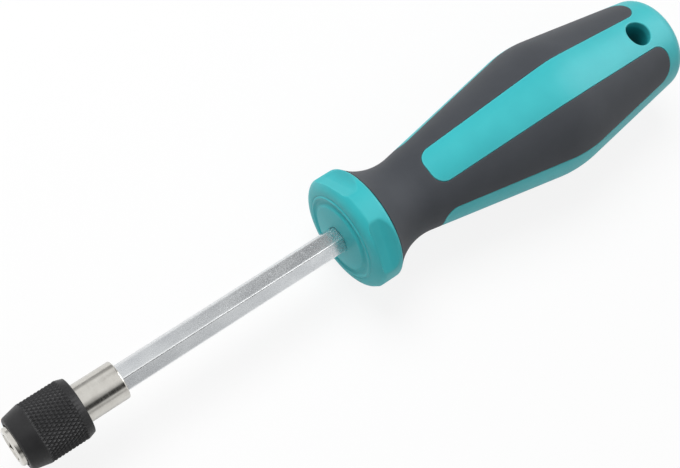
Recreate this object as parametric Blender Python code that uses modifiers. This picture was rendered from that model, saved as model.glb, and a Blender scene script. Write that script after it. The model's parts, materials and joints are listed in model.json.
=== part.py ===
"""Bit holder screwdriver: a moulded handle, a hexagon shaft and a quick-change bit socket.

Metres. +X runs from the bit seat back along the tool to the handle's end, and +Z runs up through
the handle strip that has the hanging hole. The origin is the middle of the bit seat, which is the
front face of the magnet inside the socket. The tip of the tool is on the -X side.
"""
import math

import bmesh
import bpy
from mathutils import Matrix, Vector

MM = 0.001

# Clearances
MOULD_GAP = 0.3 * MM        # between the two plastics of the handle, and round loose metal pieces
RUN_GAP = 0.15 * MM         # round a sliding piece, and between a piece and the ring that stops it
PRESS_GAP = 0.05 * MM       # on each flat of a pressed hexagon fit
OVERCUT = 2.0 * MM          # how far a cutter stands past the face that it opens

# Hexagon shaft
HEX_ACROSS_FLATS = 6.35 * MM
HEX_CLOCKING = math.radians(11.4)    # turn of a shaft flat from the hanging hole's axis, towards +Y
SHAFT_SHOWN = 62.8 * MM              # bare shaft between the socket and the handle
SHAFT_BURIED = 52.0 * MM             # length inside the handle
SHAFT_CHAMFER = 0.5 * MM

# Bit socket
SOCKET_DEPTH = 15.85 * MM
SOCKET_RADIUS = 4.85 * MM
SOCKET_LENGTH = 27.9 * MM
SOCKET_MOUTH_CHAMFER = 0.35 * MM
SOCKET_TAIL_CHAMFER = 0.7 * MM
SOCKET_LEAD_IN = 0.4 * MM            # depth of the cone that leads a bit into the hexagon
MAGNET_LENGTH = 3.2 * MM

# Locking ball
BALL_RADIUS = 1.25 * MM
BALL_REACH = 8.0 * MM                # from the bit seat forward to the ball
BALL_BITE = 0.75 * MM                # how far the locked ball stands into a corner of the hexagon

# Release sleeve
SLEEVE_RADIUS = 7.6 * MM
SLEEVE_LENGTH = 15.95 * MM
SLEEVE_SETBACK = 1.25 * MM           # from the socket's mouth back to the sleeve's front face
SLEEVE_TRAVEL = 2.0 * MM
NOSE_RADIUS = 6.6 * MM
NOSE_LENGTH = 4.4 * MM
NOSE_ROUND = 0.7 * MM
TAIL_RADIUS = 7.0 * MM
TAIL_LENGTH = 1.9 * MM
CHAMBER_DEPTH = 7.2 * MM             # spring chamber, from the sleeve's rear face

# Rings, washer and spring
FRONT_RING_WIRE = 0.3 * MM           # wire radius
FRONT_RING_SET = 0.6 * MM            # from the sleeve's front face to the ring
REAR_RING_WIRE = 0.4 * MM            # wire radius
REAR_RING_SET = 0.8 * MM             # from the sleeve's rear face to the ring
RING_OPENING = math.radians(24.0)
WASHER_THICKNESS = 0.6 * MM
SPRING_WIRE = 0.25 * MM              # wire radius
SPRING_TURNS = 4
SPRING_POINTS_PER_TURN = 10

# Handle collar
COLLAR_RADIUS = 15.25 * MM
COLLAR_LENGTH = 8.55 * MM            # from the hub's front face to the collar's rear face
CONE_SETBACK = 1.75 * MM             # from the hub's front face to the foot of the collar's cone
CONE_LENGTH = 1.45 * MM              # from that foot, outside the ridge, to the rim
COLLAR_EDGE = 0.5 * MM               # chamfer between the cone and the rim
HUB_RADIUS = 8.9 * MM
HUB_CROWN = 0.5 * MM                 # how far the hub's edge lies behind its middle
HUB_EDGE = 0.6 * MM
RIDGE_RADIUS = 10.9 * MM
RIDGE_SETBACK = 1.3 * MM             # from the hub's front face to the ridge
RIDGE_WIDTH = 0.5 * MM
GROOVE_DEPTH = 1.75 * MM             # from the hub's front face to the groove's floor
FLAT_HALF_ANGLE = math.radians(29.0)
FLAT_RIM = 0.5 * MM                  # full round rim left behind the collar's flats
FLAT_COVE_SHARE = 1.25               # radius where a flat runs up to the rim, in flat depths

# Handle outline
NECK_RADIUS = 10.35 * MM
NECK_PLACE = 11.25 * MM              # from the collar's rear face to the narrowest place
NECK_HOLLOW = 16.65 * MM             # radius of the hollow curve of the neck
BELLY_RADIUS = 18.1 * MM
BELLY_PLACE = 59.25 * MM             # from the collar's rear face to the thickest place
BELLY_ROUND = 33.1 * MM              # radius of the curve over the belly
BUTT_RADIUS = 13.1 * MM
BUTT_ROUND = 4.5 * MM
HANDLE_LENGTH = 100.2 * MM           # from the collar's rear face to the handle's end

# Handle strips and grip lobes
STRIP_TIP = 16.85 * MM               # from the collar's rear face to the rounded tip of a strip
STRIP_HALF_FRONT = 4.9 * MM
STRIP_HALF_BELLY = 6.0 * MM
STRIP_HALF_REAR = 5.25 * MM
STRIP_TIP_ROUND = 3.8 * MM
LOBE_SETBACK = 6.9 * MM              # from the handle's end to the rear ends of the grip lobes
LOBE_ROUND = 4.4 * MM
GRIP_WALL = 2.4 * MM
HOLE_RADIUS = 3.5 * MM
HOLE_PLACE = 12.5 * MM               # from the handle's end to the hanging hole's axis

# How finely round shapes are faceted
ROUND_STEPS = 48
SMALL_STEPS = 32
RING_STEPS = 30
STATION_STEP = 4.5 * MM
ARC_STEPS = 5
HUB_SHARES = (0.0, 0.4, 0.7, 1.0)    # of the hub's radius, where its crowned face is faceted
SMOOTH_ANGLE = math.radians(30.0)
SIDES = 4                            # strips, grip lobes and collar flats

# Places along the tool
MOUTH_X = -SOCKET_DEPTH
SOCKET_TAIL_X = MOUTH_X + SOCKET_LENGTH
SHAFT_FRONT_X = MAGNET_LENGTH + RUN_GAP
HUB_X = SOCKET_TAIL_X + SHAFT_SHOWN
SHAFT_REAR_X = HUB_X + SHAFT_BURIED
COLLAR_REAR_X = HUB_X + COLLAR_LENGTH
NECK_X = COLLAR_REAR_X + NECK_PLACE
BELLY_X = COLLAR_REAR_X + BELLY_PLACE
STRIP_TIP_X = COLLAR_REAR_X + STRIP_TIP
END_X = COLLAR_REAR_X + HANDLE_LENGTH
LOBE_END_X = END_X - LOBE_SETBACK
HOLE_X = END_X - HOLE_PLACE
SLEEVE_FRONT_X = MOUTH_X + SLEEVE_SETBACK
SLEEVE_REAR_X = SLEEVE_FRONT_X + SLEEVE_LENGTH
BALL_X = -BALL_REACH
FRONT_RING_X = SLEEVE_FRONT_X + FRONT_RING_SET
REAR_RING_X = SLEEVE_REAR_X - REAR_RING_SET
WASHER_REAR_X = REAR_RING_X - REAR_RING_WIRE - RUN_GAP
WASHER_FRONT_X = WASHER_REAR_X - WASHER_THICKNESS
CHAMBER_X = SLEEVE_REAR_X - CHAMBER_DEPTH
SPRING_REAR_X = WASHER_FRONT_X - RUN_GAP
SPRING_FRONT_X = CHAMBER_X + RUN_GAP

# Radii and angles that follow from the sizes above
HALF_HEX = math.pi / 6
BORE_FLAT = HEX_ACROSS_FLATS / 2 + PRESS_GAP
BORE_CORNER = BORE_FLAT / math.cos(HALF_HEX)
CORNER_TURN = HEX_CLOCKING - HALF_HEX        # the hexagon corner that has the ball's hole
BALL_CENTRE = BORE_CORNER - BALL_BITE + BALL_RADIUS
RAMP_SLOPE = BALL_BITE / SLEEVE_TRAVEL
RAMP_ANGLE = math.atan(RAMP_SLOPE)
SLIDE_BORE = SOCKET_RADIUS + RUN_GAP
SPRING_RADIUS = (SLIDE_BORE + SPRING_WIRE) / math.cos(math.pi / SPRING_POINTS_PER_TURN)
CHAMBER_RADIUS = SPRING_RADIUS + SPRING_WIRE + MOULD_GAP
COLLAR_FLAT = COLLAR_RADIUS * math.cos(FLAT_HALF_ANGLE)
FLAT_COVE = FLAT_COVE_SHARE * (COLLAR_RADIUS - COLLAR_FLAT)

# Turns that lay a local Z axis along the tool, and a local Y axis across it
ALONG_TOOL = Matrix.Rotation(math.pi / 2, 4, 'Y')
UPRIGHT = Matrix.Rotation(math.pi / 2, 4, 'X')


def new_collection(name):
    """Makes a collection in the scene."""
    collection = bpy.data.collections.new(name)
    bpy.context.scene.collection.children.link(collection)
    return collection


def clear_scene():
    """Removes every object, so that the script starts from nothing."""
    for obj in list(bpy.data.objects):
        bpy.data.objects.remove(obj)


def material(name, colour, roughness, metallic):
    """Makes a plain surface of one colour."""
    mat = bpy.data.materials.new(name)
    mat.use_nodes = True
    shader = mat.node_tree.nodes['Principled BSDF']
    shader.inputs['Base Color'].default_value = (*colour, 1.0)
    shader.inputs['Roughness'].default_value = roughness
    shader.inputs['Metallic'].default_value = metallic
    return mat


def add_object(name, data, collection, matrix=None):
    """Puts a mesh or a curve in the scene, placed by its matrix."""
    obj = bpy.data.objects.new(name, data)
    collection.objects.link(obj)
    if matrix is not None:
        obj.matrix_world = matrix
    return obj


def evaluated_mesh(obj):
    """Returns the object's mesh with its modifiers or its curve bevel worked out, doubles merged."""
    bpy.context.view_layer.update()
    depsgraph = bpy.context.evaluated_depsgraph_get()
    mesh = bpy.data.meshes.new_from_object(obj.evaluated_get(depsgraph))
    bm = bmesh.new()
    bm.from_mesh(mesh)
    bmesh.ops.remove_doubles(bm, verts=bm.verts, dist=1e-7)
    bm.to_mesh(mesh)
    bm.free()
    return mesh


def settle(obj, finish):
    """Works out a part's modifiers, shades its round faces smooth and gives it its material."""
    mesh = evaluated_mesh(obj)
    obj.modifiers.clear()
    obj.data = mesh
    mesh.name = obj.name
    mesh.shade_smooth()
    mesh.set_sharp_from_angle(angle=SMOOTH_ANGLE)
    mesh.materials.clear()
    mesh.materials.append(finish)
    return obj


def turned(name, profile, collection, closed=False, steps=ROUND_STEPS):
    """Turns a profile round the tool's axis.

    The profile is (x, radius) points, front to rear along its outer side. An open one starts and
    ends on the axis. A closed one comes back to the front along its inner side.
    """
    points = [(radius, 0.0, x) for x, radius in reversed(profile)]
    edges = [(i, i + 1) for i in range(len(points) - 1)]
    if closed:
        edges.append((len(points) - 1, 0))
    mesh = bpy.data.meshes.new(name)
    mesh.from_pydata(points, edges, [])
    obj = add_object(name, mesh, collection, ALONG_TOOL)
    screw = obj.modifiers.new('Turn', 'SCREW')
    screw.axis = 'Z'
    screw.angle = 2 * math.pi
    screw.steps = steps
    screw.render_steps = steps
    screw.use_merge_vertices = True
    screw.merge_threshold = 1e-6
    screw.use_smooth_shade = True
    return obj


def from_curve(name, curve, collection, matrix):
    """Turns a curve into a closed mesh object and removes the curve."""
    source = add_object(name, curve, collection, matrix)
    mesh = evaluated_mesh(source)
    bpy.data.objects.remove(source)
    bpy.data.curves.remove(curve)
    return add_object(name, mesh, collection, matrix)


def plate(name, outline, half_thickness, collection, matrix):
    """Makes a flat outline of (x, y) points into a slab, half its thickness to either side."""
    curve = bpy.data.curves.new(name, 'CURVE')
    curve.dimensions = '2D'
    curve.fill_mode = 'BOTH'
    curve.extrude = half_thickness
    spline = curve.splines.new('POLY')
    spline.points.add(len(outline) - 1)
    for point, (x, y) in zip(spline.points, outline):
        point.co = (x, y, 0.0, 1.0)
    spline.use_cyclic_u = True
    return from_curve(name, curve, collection, matrix)


def wire(name, points, radius, collection):
    """Makes a round wire of one unbroken length through the points, with closed ends."""
    curve = bpy.data.curves.new(name, 'CURVE')
    curve.dimensions = '3D'
    curve.bevel_depth = radius
    curve.bevel_resolution = 1
    curve.use_fill_caps = True
    spline = curve.splines.new('POLY')
    spline.points.add(len(points) - 1)
    for point, place in zip(spline.points, points):
        point.co = (*place, 1.0)
    return from_curve(name, curve, collection, Matrix.Identity(4))


def hexagon(name, across_flats, front_x, rear_x, collection):
    """Makes a hexagon bar along the tool, turned to the shaft's clocking."""
    corner = across_flats / 2 / math.cos(HALF_HEX)
    mesh = bpy.data.meshes.new(name)
    bm = bmesh.new()
    bmesh.ops.create_cone(bm, cap_ends=True, segments=6, radius1=corner, radius2=corner,
                          depth=rear_x - front_x)
    bm.to_mesh(mesh)
    bm.free()
    place = Matrix.Translation(((front_x + rear_x) / 2, 0.0, 0.0))
    corner_up = Matrix.Rotation(math.pi / 2 - CORNER_TURN, 4, 'X') @ ALONG_TOOL
    return add_object(name, mesh, collection, place @ corner_up)


def boolean(target, operation, *cutters):
    """Cuts a part with each cutter, or joins or crosses it, and hides the cutters."""
    for cutter in cutters:
        modifier = target.modifiers.new(cutter.name, 'BOOLEAN')
        modifier.operation = operation
        modifier.solver = 'EXACT'
        modifier.object = cutter
        cutter.hide_render = True
        cutter.display_type = 'WIRE'


def arc(centre_x, centre_y, radius, start, stop, steps=ARC_STEPS):
    """Points on an arc, from one angle to another."""
    turns = [start + (stop - start) * i / steps for i in range(steps + 1)]
    return [(centre_x + radius * math.cos(a), centre_y + radius * math.sin(a)) for a in turns]


def tangent_slope(first, second):
    """Slope angle of the line that lies on two arcs.

    An arc is (centre x, centre y, radius), where a radius below zero is a hollow arc. The line
    that touches both meets each of them at centre + radius * normal.
    """
    across = second[0] - first[0]
    rise = second[1] - first[1]
    span = math.hypot(across, rise)
    return math.atan2(rise, across) - math.asin((first[2] - second[2]) / span)


NECK_ARC = (NECK_X, NECK_RADIUS + NECK_HOLLOW, -NECK_HOLLOW)
BELLY_ARC = (BELLY_X, BELLY_RADIUS - BELLY_ROUND, BELLY_ROUND)
BUTT_ARC = (END_X - BUTT_ROUND, BUTT_RADIUS - BUTT_ROUND, BUTT_ROUND)
FRONT_SLOPE = tangent_slope(NECK_ARC, BELLY_ARC)
REAR_SLOPE = tangent_slope(BELLY_ARC, BUTT_ARC)


def touch_x(handle_arc, slope):
    """Where along the tool a line of this slope touches an arc of the handle's outline."""
    return handle_arc[0] - handle_arc[2] * math.sin(slope)


def arc_height(handle_arc, x):
    """Radius of the handle at a place on one of its arcs."""
    centre_x, centre_y, radius = handle_arc
    return centre_y + math.copysign(math.sqrt(max(radius ** 2 - (x - centre_x) ** 2, 0.0)), radius)


def handle_radius(x):
    """Radius of the handle: neck hollow, straight taper, belly, straight taper, rounded end."""
    neck_end = touch_x(NECK_ARC, FRONT_SLOPE)
    belly_start = touch_x(BELLY_ARC, FRONT_SLOPE)
    belly_end = touch_x(BELLY_ARC, REAR_SLOPE)
    butt_start = touch_x(BUTT_ARC, REAR_SLOPE)
    if x <= neck_end:
        return arc_height(NECK_ARC, x)
    if x < belly_start:
        return arc_height(NECK_ARC, neck_end) + (x - neck_end) * math.tan(FRONT_SLOPE)
    if x <= belly_end:
        return arc_height(BELLY_ARC, x)
    if x < butt_start:
        return arc_height(BELLY_ARC, belly_end) + (x - belly_end) * math.tan(REAR_SLOPE)
    return arc_height(BUTT_ARC, min(x, END_X))


def stations(start, stop):
    """Evenly spaced places along the tool, both ends included."""
    count = max(2, math.ceil((stop - start) / STATION_STEP))
    return [start + (stop - start) * i / count for i in range(count + 1)]


def strip_half_width(x):
    """Half the width of a strip: widest over the belly, and run out to nothing at the end."""
    if x < BELLY_X:
        share = (x - STRIP_TIP_X) / (BELLY_X - STRIP_TIP_X)
        return STRIP_HALF_FRONT + (STRIP_HALF_BELLY - STRIP_HALF_FRONT) * max(share, 0.0)
    if x < LOBE_END_X:
        share = (x - BELLY_X) / (LOBE_END_X - BELLY_X)
        return STRIP_HALF_BELLY + (STRIP_HALF_REAR - STRIP_HALF_BELLY) * share
    return STRIP_HALF_REAR * (END_X - x) / (END_X - LOBE_END_X)


def around(index):
    """Turn about the tool's axis to one of the handle's four sides."""
    return Matrix.Rotation(2 * math.pi * index / SIDES, 4, 'X')


def strip_windows(name, inset, collection):
    """Upright prisms, one a side, with the strip's outline seen from outside.

    The outline has a rounded tip at the front, follows the strip's width to the rear and flares
    there, which rounds the rear ends of the grip lobes on either side. The inset narrows it.
    """
    tip = STRIP_TIP_X + inset
    corner_x = tip + STRIP_TIP_ROUND
    corner_y = strip_half_width(corner_x) - inset - STRIP_TIP_ROUND
    flare_x = LOBE_END_X - LOBE_ROUND
    flare_y = strip_half_width(flare_x) - inset
    side = arc(corner_x, corner_y, STRIP_TIP_ROUND, math.pi, math.pi / 2)
    side += [(x, strip_half_width(x) - inset) for x in stations(corner_x, flare_x)[1:-1]]
    side += arc(flare_x, flare_y + LOBE_ROUND, LOBE_ROUND, -math.pi / 2, 0.0)
    side.append((END_X + OVERCUT, flare_y + LOBE_ROUND))
    outline = side + [(x, -y) for x, y in reversed(side)]
    half = BELLY_RADIUS / 2 + OVERCUT
    outward = Matrix.Translation((0.0, 0.0, half))
    return [plate(f'{name}_{i}', outline, half, collection, around(i) @ outward) for i in range(SIDES)]


def collar_flats(collection):
    """Cutters for the collar's four flats, which sit between the strips and end at a round rim."""
    stop = COLLAR_REAR_X - FLAT_RIM
    front = HUB_X - OVERCUT
    ceiling = COLLAR_RADIUS + OVERCUT
    outline = [(front, COLLAR_FLAT)]
    outline += arc(stop - FLAT_COVE, COLLAR_FLAT + FLAT_COVE, FLAT_COVE, -math.pi / 2, 0.0)
    outline += [(stop, ceiling), (front, ceiling)]
    half_side = Matrix.Rotation(math.pi / SIDES, 4, 'X')
    return [plate(f'collar_flat_{i}', outline, COLLAR_RADIUS, collection,
                  around(i) @ half_side @ UPRIGHT) for i in range(SIDES)]


def rod(name, radius, front, rear, collection, matrix, steps=SMALL_STEPS):
    """Makes a plain round rod along the local Z axis of a matrix."""
    mesh = bpy.data.meshes.new(name)
    bm = bmesh.new()
    bmesh.ops.create_cone(bm, cap_ends=True, segments=steps, radius1=radius, radius2=radius,
                          depth=rear - front)
    bm.to_mesh(mesh)
    bm.free()
    return add_object(name, mesh, collection, matrix @ Matrix.Translation((0, 0, (front + rear) / 2)))


def make_handle_core(parts, cutters, finish):
    """The hard plastic: collar, inner core, four strips and the rounded end with its hole."""
    groove_inner = HUB_RADIUS + HUB_EDGE
    groove_x = HUB_X + GROOVE_DEPTH
    ridge_x = HUB_X + RIDGE_SETBACK
    cone_x = HUB_X + CONE_SETBACK
    rim_x = cone_x + CONE_LENGTH
    collar_tail = COLLAR_REAR_X + OVERCUT
    profile = [(HUB_X + HUB_CROWN * share ** 2, HUB_RADIUS * share) for share in HUB_SHARES]
    profile += [
        (groove_x, groove_inner),
        (groove_x, RIDGE_RADIUS - RIDGE_WIDTH),
        (ridge_x, RIDGE_RADIUS),
        (ridge_x, RIDGE_RADIUS + RIDGE_WIDTH),
        (cone_x, RIDGE_RADIUS + 2 * RIDGE_WIDTH),
        (rim_x - COLLAR_EDGE, COLLAR_RADIUS - COLLAR_EDGE),
        (rim_x, COLLAR_RADIUS),
        (collar_tail, COLLAR_RADIUS),
    ]
    body = stations(collar_tail, BELLY_X)[1:] + stations(BELLY_X, END_X - BUTT_ROUND)[1:-1]
    profile.append((collar_tail, handle_radius(collar_tail)))
    profile += [(x, handle_radius(x)) for x in body]
    profile += arc(*BUTT_ARC, math.pi / 2 + REAR_SLOPE, 0.0)
    profile.append((END_X, 0.0))
    core = turned('handle_core', profile, parts)

    inner = [(x, handle_radius(x) - GRIP_WALL - MOULD_GAP) for x in grip_stations(MOULD_GAP)]
    outer = [(x, BELLY_RADIUS + OVERCUT) for x in (inner[0][0], inner[-1][0])]
    bed = turned('grip_bed', outer + inner[::-1], cutters, closed=True)
    boolean(bed, 'DIFFERENCE', *strip_windows('strip_rib', MOULD_GAP / 2, cutters))

    hole = rod('hanging_hole', HOLE_RADIUS, -BELLY_RADIUS, BELLY_RADIUS, cutters,
               Matrix.Translation((HOLE_X, 0.0, 0.0)))
    bore = hexagon('shaft_bore', HEX_ACROSS_FLATS + 2 * RUN_GAP, HUB_X - OVERCUT,
                   SHAFT_REAR_X + MOULD_GAP, cutters)
    boolean(core, 'DIFFERENCE', bed, *collar_flats(cutters), hole, bore)
    return settle(core, finish)


def grip_stations(clearance):
    """Places along the grip, from just behind the collar to the lobes' rear ends."""
    front = COLLAR_REAR_X + MOULD_GAP - clearance
    rear = LOBE_END_X + clearance
    return stations(front, NECK_X) + stations(NECK_X, BELLY_X)[1:] + stations(BELLY_X, rear)[1:]


def make_soft_grip(parts, cutters, finish):
    """The soft plastic moulded over the core: a band round the neck and four lobes behind it."""
    places = grip_stations(0.0)
    outer = [(x, handle_radius(x)) for x in places]
    inner = [(x, handle_radius(x) - GRIP_WALL) for x in places]
    grip = turned('soft_grip', outer + inner[::-1], parts, closed=True)
    boolean(grip, 'DIFFERENCE', *strip_windows('strip_window', -MOULD_GAP / 2, cutters))
    return settle(grip, finish)


def make_hex_shaft(parts, cutters, finish):
    """The hexagon bar, pressed into the socket at the front and the handle at the rear."""
    shaft = hexagon('hex_shaft', HEX_ACROSS_FLATS, SHAFT_FRONT_X, SHAFT_REAR_X, parts)
    corner = HEX_ACROSS_FLATS / 2 / math.cos(HALF_HEX)
    reduced = corner - SHAFT_CHAMFER
    ends = turned('shaft_ends', [
        (SHAFT_FRONT_X, 0.0),
        (SHAFT_FRONT_X, reduced),
        (SHAFT_FRONT_X + SHAFT_CHAMFER, corner),
        (SHAFT_FRONT_X + SHAFT_CHAMFER, corner + OVERCUT),
        (SHAFT_REAR_X - SHAFT_CHAMFER, corner + OVERCUT),
        (SHAFT_REAR_X - SHAFT_CHAMFER, corner),
        (SHAFT_REAR_X, reduced),
        (SHAFT_REAR_X, 0.0),
    ], cutters, steps=SMALL_STEPS)
    boolean(shaft, 'INTERSECT', ends)
    return settle(shaft, finish)


def ring_groove(ring_x, wire_radius):
    """Profile points of the groove that a wire ring sits in, half sunk into the socket's wall."""
    half = wire_radius + RUN_GAP
    floor = SOCKET_RADIUS - wire_radius - RUN_GAP
    return [
        (ring_x - half, SOCKET_RADIUS),
        (ring_x - half, floor),
        (ring_x + half, floor),
        (ring_x + half, SOCKET_RADIUS),
    ]


def make_bit_socket(parts, cutters, finish):
    """The tube with a hexagon through it, a hole for the ball and grooves for the two rings."""
    profile = [
        (MOUTH_X, 0.0),
        (MOUTH_X, SOCKET_RADIUS - SOCKET_MOUTH_CHAMFER),
        (MOUTH_X + SOCKET_MOUTH_CHAMFER, SOCKET_RADIUS),
    ]
    profile += ring_groove(FRONT_RING_X, FRONT_RING_WIRE)
    profile += ring_groove(REAR_RING_X, REAR_RING_WIRE)
    profile += arc(SOCKET_TAIL_X - SOCKET_TAIL_CHAMFER, SOCKET_RADIUS - SOCKET_TAIL_CHAMFER,
                   SOCKET_TAIL_CHAMFER, math.pi / 2, 0.0)
    profile.append((SOCKET_TAIL_X, 0.0))
    socket = turned('bit_socket', profile, parts)
    bore = hexagon('socket_bore', 2 * BORE_FLAT, MOUTH_X - OVERCUT, SOCKET_TAIL_X + OVERCUT, cutters)
    lead_in = turned('socket_lead_in', [
        (MOUTH_X - OVERCUT, 0.0),
        (MOUTH_X - OVERCUT, BORE_CORNER + OVERCUT),
        (MOUTH_X + SOCKET_LEAD_IN, BORE_CORNER - SOCKET_LEAD_IN),
        (MOUTH_X + SOCKET_LEAD_IN, 0.0),
    ], cutters, steps=SMALL_STEPS)
    outward = Matrix.Translation((BALL_X, 0.0, 0.0)) @ Matrix.Rotation(-CORNER_TURN, 4, 'X')
    ball_hole = rod('ball_hole', BALL_RADIUS + RUN_GAP, 0.0, SOCKET_RADIUS + OVERCUT, cutters, outward)
    boolean(socket, 'DIFFERENCE', bore, lead_in, ball_hole)
    return settle(socket, finish)


def make_magnet(parts, finish):
    """The round magnet in the hexagon, whose front face is the bit seat."""
    radius = HEX_ACROSS_FLATS / 2 - RUN_GAP
    magnet = rod('magnet', radius, 0.0, MAGNET_LENGTH, parts, ALONG_TOOL)
    return settle(magnet, finish)


def make_locking_ball(parts, finish):
    """The ball in the socket's wall. Its own Z axis is the line that it slides on."""
    mesh = bpy.data.meshes.new('locking_ball')
    bm = bmesh.new()
    bmesh.ops.create_uvsphere(bm, u_segments=16, v_segments=10, radius=BALL_RADIUS)
    bm.to_mesh(mesh)
    bm.free()
    outward = Matrix.Translation((BALL_X, 0.0, 0.0)) @ Matrix.Rotation(-CORNER_TURN, 4, 'X')
    ball = add_object('locking_ball', mesh, parts, outward @ Matrix.Translation((0, 0, BALL_CENTRE)))
    return settle(ball, finish)


def make_release_sleeve(parts, finish):
    """The sleeve: nose, gripping band and tail outside, ball ramp and spring chamber inside.

    The ramp opens towards the front at the slope that the ball and the sleeve move at, so that
    the ball keeps the same clearance all the way.
    """
    ramp_at_ball = BALL_CENTRE + (BALL_RADIUS + RUN_GAP) / math.cos(RAMP_ANGLE)
    pocket_radius = ramp_at_ball + BALL_BITE
    pocket_front = BALL_X - SLEEVE_TRAVEL - BALL_RADIUS - MOULD_GAP
    ramp_rear = BALL_X + (ramp_at_ball - SLIDE_BORE) / RAMP_SLOPE
    shoulder_x = FRONT_RING_X + FRONT_RING_WIRE + RUN_GAP
    mouth_radius = SOCKET_RADIUS + FRONT_RING_WIRE + RUN_GAP
    outer = [(SLEEVE_FRONT_X, mouth_radius)]
    outer += arc(SLEEVE_FRONT_X + NOSE_ROUND, NOSE_RADIUS - NOSE_ROUND, NOSE_ROUND,
                 math.pi, math.pi / 2, steps=3)
    outer += [
        (SLEEVE_FRONT_X + NOSE_LENGTH, SLEEVE_RADIUS),
        (SLEEVE_REAR_X - TAIL_LENGTH, SLEEVE_RADIUS),
        (SLEEVE_REAR_X, TAIL_RADIUS),
    ]
    inner = [
        (SLEEVE_REAR_X, CHAMBER_RADIUS),
        (CHAMBER_X, CHAMBER_RADIUS),
        (CHAMBER_X, SLIDE_BORE),
        (ramp_rear, SLIDE_BORE),
        (BALL_X - SLEEVE_TRAVEL, pocket_radius),
        (pocket_front, pocket_radius),
        (pocket_front, SLIDE_BORE),
        (shoulder_x, SLIDE_BORE),
        (shoulder_x, mouth_radius),
    ]
    sleeve = turned('release_sleeve', outer + inner, parts, closed=True)
    return settle(sleeve, finish)


def make_wire_ring(name, ring_x, wire_radius, parts, finish):
    """An open spring ring in a groove of the socket."""
    start = RING_OPENING / 2
    turn = (2 * math.pi - RING_OPENING) / RING_STEPS
    angles = [start + turn * i for i in range(RING_STEPS + 1)]
    points = [(ring_x, SOCKET_RADIUS * math.sin(a), -SOCKET_RADIUS * math.cos(a)) for a in angles]
    return settle(wire(name, points, wire_radius, parts), finish)


def make_seat_washer(parts, finish):
    """The washer that the spring pushes on, held by the rear ring."""
    outer_radius = CHAMBER_RADIUS - RUN_GAP
    washer = turned('seat_washer', [
        (WASHER_FRONT_X, outer_radius),
        (WASHER_REAR_X, outer_radius),
        (WASHER_REAR_X, SLIDE_BORE),
        (WASHER_FRONT_X, SLIDE_BORE),
    ], parts, closed=True)
    return settle(washer, finish)


def make_sleeve_spring(parts, finish):
    """The coil spring in the sleeve's chamber, between the sleeve and the washer."""
    count = SPRING_TURNS * SPRING_POINTS_PER_TURN
    start = SPRING_FRONT_X + SPRING_WIRE
    length = SPRING_REAR_X - SPRING_WIRE - start
    points = []
    for i in range(count + 1):
        turn = 2 * math.pi * i / SPRING_POINTS_PER_TURN
        x = start + length * i / count
        points.append(Vector((x, SPRING_RADIUS * math.sin(turn), SPRING_RADIUS * math.cos(turn))))
    apart = SPRING_POINTS_PER_TURN // 2
    nearest = min((points[i] - points[j]).length for i in range(len(points))
                  for j in range(i + apart, len(points)))
    print(f'sleeve_spring: least gap between turns {(nearest - 2 * SPRING_WIRE) / MM:.2f} mm')
    return settle(wire('sleeve_spring', points, SPRING_WIRE, parts), finish)


def main():
    """Builds the screwdriver, each piece in its own object."""
    clear_scene()
    parts = new_collection('bit_holder_screwdriver')
    cutters = new_collection('cutters')

    hard_plastic = material('hard_plastic', (0.055, 0.480, 0.510), 0.42, 0.0)
    soft_plastic = material('soft_plastic', (0.075, 0.080, 0.090), 0.70, 0.0)
    plated_steel = material('plated_steel', (0.640, 0.670, 0.690), 0.35, 1.0)
    turned_steel = material('turned_steel', (0.600, 0.590, 0.560), 0.25, 1.0)
    black_steel = material('black_steel', (0.030, 0.030, 0.032), 0.45, 0.6)
    spring_steel = material('spring_steel', (0.400, 0.400, 0.410), 0.35, 1.0)
    magnet_plate = material('magnet_plate', (0.500, 0.500, 0.490), 0.30, 1.0)

    make_handle_core(parts, cutters, hard_plastic)
    make_soft_grip(parts, cutters, soft_plastic)
    make_hex_shaft(parts, cutters, plated_steel)
    make_bit_socket(parts, cutters, turned_steel)
    make_magnet(parts, magnet_plate)
    make_locking_ball(parts, spring_steel)
    make_release_sleeve(parts, black_steel)
    make_wire_ring('front_ring', FRONT_RING_X, FRONT_RING_WIRE, parts, spring_steel)
    make_wire_ring('rear_ring', REAR_RING_X, REAR_RING_WIRE, parts, spring_steel)
    make_seat_washer(parts, spring_steel)
    make_sleeve_spring(parts, spring_steel)


main()
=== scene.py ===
"""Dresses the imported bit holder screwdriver: fine surfaces, finishes, floor, light and camera.

Metres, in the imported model's frame: +X runs from the bit seat back along the tool, and +Z runs up
through the strip that has the hanging hole. Angles round the tool run from +Z towards +Y.
"""

import json
import logging
import math
from dataclasses import dataclass
from enum import Enum

import bmesh
import bpy
import numpy as np
from mathutils import Matrix, Vector

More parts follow.
